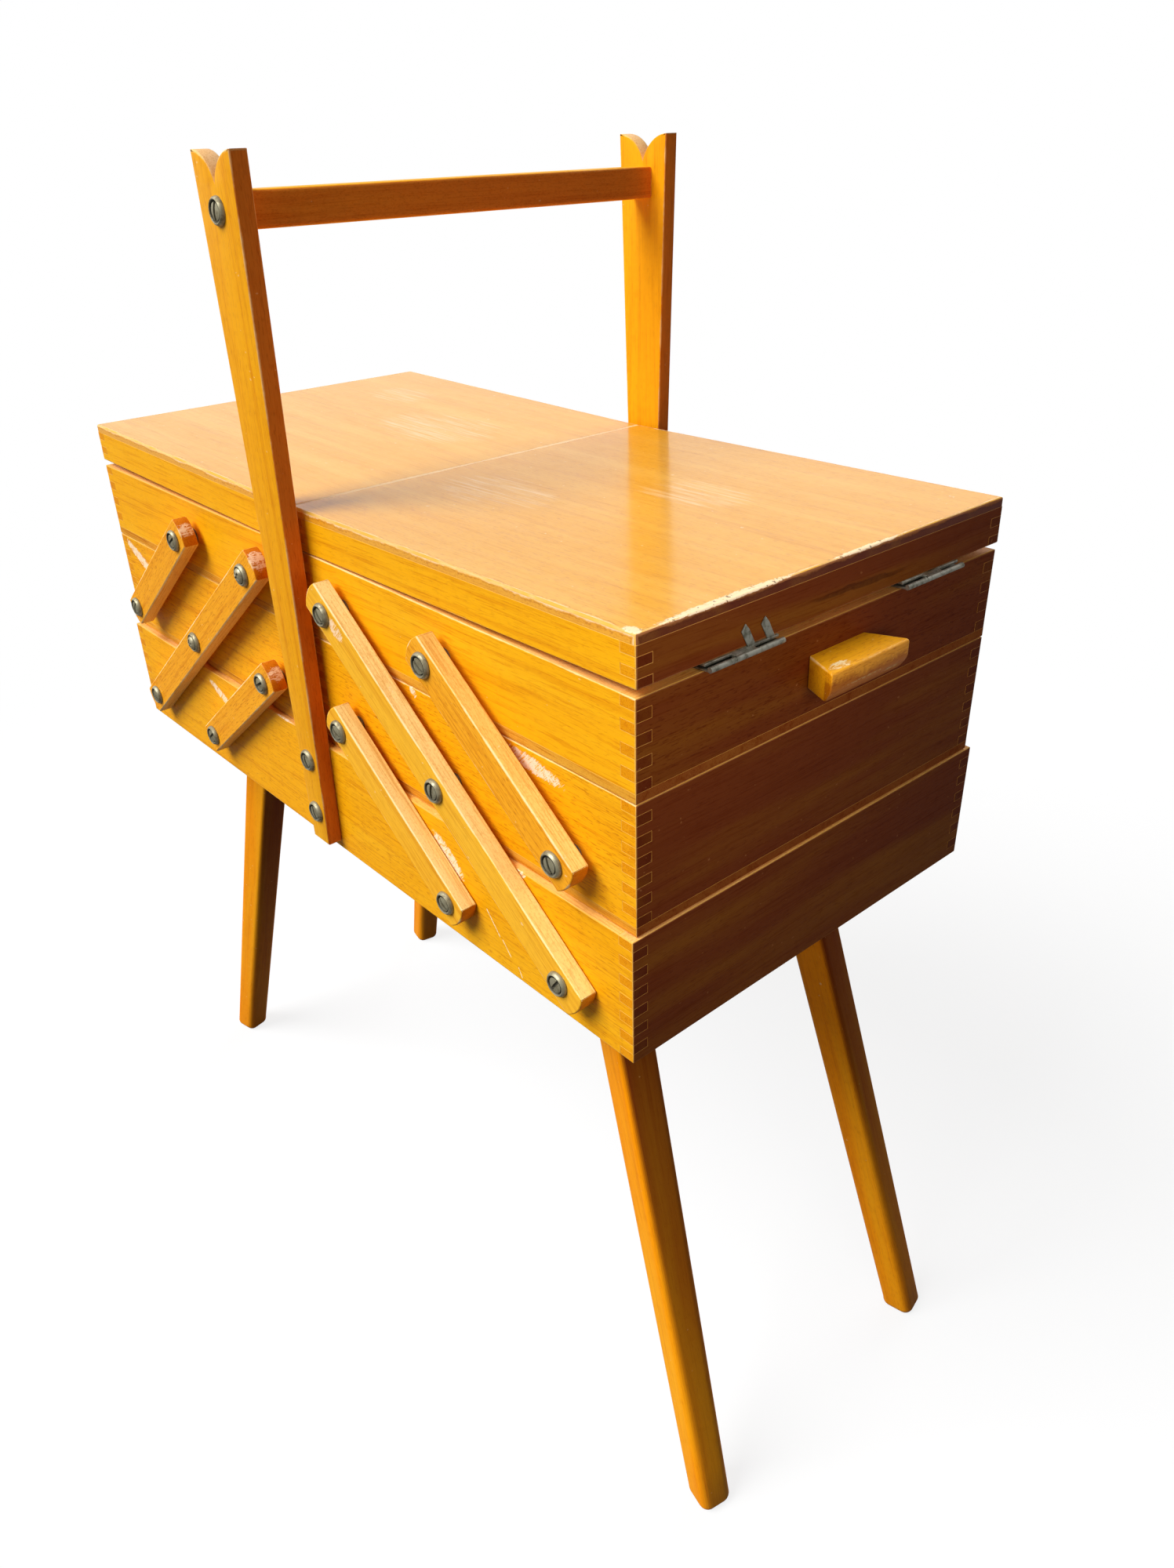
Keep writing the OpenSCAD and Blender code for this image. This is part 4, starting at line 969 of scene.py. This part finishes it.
# Hinges and the bearers' screws keep their CAD shapes, with merged points and softened edges.
# The hinges' rolls, of radius "cadRoll", are drawn in to "roll". Lengths are in millimetres.
hinge = {"axis": (223, 447.6), "cadRoll": 1.9, "within": 0.25, "roll": 1.1, "shortest": 0.9}
metalRows = [(side + part, "hinge", "hinge_steel", 0.16) for side in ("right_", "left_")
             for part in ("hinge_tray_leaves", "hinge_lid_leaves", "hinge_pins")]
metalRows.append(("bearer_screws", "screw", "screw_metal", 0.1))
for node, finish, slotName, radius in metalRows:
    shape = mergedCopy(node)
    joinFlatFaces(shape)
    sharp = [edge for edge in shape.edges if edge.calc_length() > hinge["shortest"] * mm
             and edge.is_convex and edge.calc_face_angle(0) > soften["corner"]]
    bmesh.ops.bevel(shape, geom=sharp, offset=radius * mm, segments=1, affect="EDGES", clamp_overlap=False)
    mesh = meshFrom(shape, node + "_mesh")
    if "leaves" in node:
        points = meshPoints(mesh)
        axis = np.array(hinge["axis"]) * (math.copysign(mm, points[0, 0]), mm)
        away = points[:, [0, 2]] - axis
        radius = np.hypot(*away.T)
        rolled = np.abs(radius - hinge["cadRoll"] * mm) < hinge["within"] * mm
        away *= np.where(rolled, hinge["roll"] * mm / radius, 1)[:, None]
        points[:, [0, 2]] = axis + away
        mesh.vertices.foreach_set("co", points.ravel())
        mesh.update()
    mesh.polygons.foreach_set("use_smooth", np.full(len(mesh.polygons), True))
    mesh.set_sharp_from_angle(angle=math.radians(35))
    setAttribute(mesh, "deep", "FLOAT", "POINT", np.zeros(len(mesh.vertices)))
    addPiece(node + "_metal", mesh, finish, slotName, frame["nodes"][node]["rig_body"], node)
print("hinges made")


# A pale floor that keeps a soft shadow, and plain light from the front left.
studio = {"floorHalf": 6.0, "key": (-0.24, -0.64, 0.73), "keyStrength": 1.33, "keySpread": 40,
          "fill": (-0.25, 0.9, 0.35), "fillStrength": 0.35, "fillSpread": 40, "sky": 0.26,
          "skyRight": 0.03, "floorLight": 0.14, "floorGloss": 0.3, "shadow": 0.18,
          "side": (0.42, -0.118, 0.49), "aim": (0.22, -0.03, 0.40), "sideSize": 0.12, "sidePower": 0.26}


def makeFloor():
    half = studio["floorHalf"]
    corners = [(-half, -half, 0), (half, -half, 0), (half, half, 0), (-half, half, 0)]
    mesh = buildMesh("floorMesh", corners, [(0, 1, 2, 3)], False)
    material, bench = newMaterial("paleFloor")
    seen, glossy, passed = bench.rayKinds()
    place = bench.node("ShaderNodeTexCoord", {}, {}, "Object")
    away = place.vector("LENGTH", (0, 0, 0), "Value").step(0.45, 1.1)
    shown = seen.high(passed)
    keep = studio["shadow"] * (1 - away)
    lit = bench.node("ShaderNodeBsdfDiffuse", {}, {"Color": (0.86, 0.86, 0.86)})
    dim = bench.node("ShaderNodeBsdfDiffuse", {}, {"Color": (studio["floorLight"],) * 3})
    glow = shown + (1 - shown) * studio["floorGloss"]
    plain = bench.node("ShaderNodeEmission", {}, {"Color": (1, 1, 1), "Strength": glow})
    view = bench.node("ShaderNodeMixShader", {}, {0: keep * shown, 1: plain, 2: lit})
    both = bench.node("ShaderNodeMixShader", {}, {0: shown.high(glossy), 1: dim, 2: view})
    bench.node("ShaderNodeOutputMaterial", {}, {"Surface": both})
    mesh.materials.append(material)
    floor = bpy.data.objects.new("floor", mesh)
    scene.collection.objects.link(floor)


def addSun(name, way, strength, spread, glossy):
    data = bpy.data.lights.new(name, "SUN")
    data.energy, data.angle = strength * math.pi, math.radians(spread)
    sun = bpy.data.objects.new(name, data)
    sun.rotation_mode = "QUATERNION"
    sun.rotation_quaternion = Vector(way).to_track_quat("Z", "Y")
    sun.visible_glossy = glossy
    scene.collection.objects.link(sun)


# A small soft lamp at the right front, whose light fades along the right end. It stands so near
# that it burns out a patch of the lid and the top tray when the right side is open.
def addSideLamp():
    data = bpy.data.lights.new("sideLamp", "AREA")
    data.energy, data.size = studio["sidePower"], studio["sideSize"]
    lamp = bpy.data.objects.new("sideLamp", data)
    lamp.location = studio["side"]
    lamp.rotation_mode = "QUATERNION"
    lamp.rotation_quaternion = (Vector(studio["side"]) - Vector(studio["aim"])).to_track_quat("Z", "Y")
    lamp.visible_glossy = lamp.visible_camera = False
    scene.collection.objects.link(lamp)


# The sky is white to the camera. It lights the wood less, and least from the right.
def makeSky():
    world = bpy.data.worlds.new("studioSky")
    world.use_nodes = True
    scene.world = world
    bench = Bench(world.node_tree)
    seen, glossy, passed = bench.rayKinds()
    x = bench.node("ShaderNodeTexCoord", {}, {}, "Generated").split()[0]
    right = x.step(-0.3, 0.7)
    shown = seen.high(passed)
    soft = studio["sky"] * (1 - right * (1 - studio["skyRight"]))
    shine = 1 - right * 0.6
    strength = shown + (1 - shown) * (glossy * shine + (1 - glossy) * soft)
    sky = bench.node("ShaderNodeBackground", {}, {"Color": (1, 1, 1), "Strength": strength})
    bench.node("ShaderNodeOutputWorld", {}, {"Surface": sky})


makeFloor()
makeSky()
addSun("keyLight", studio["key"], studio["keyStrength"], studio["keySpread"], True)
addSun("fillLight", studio["fill"], studio["fillStrength"], studio["fillSpread"], False)
addSideLamp()
print("studio made")
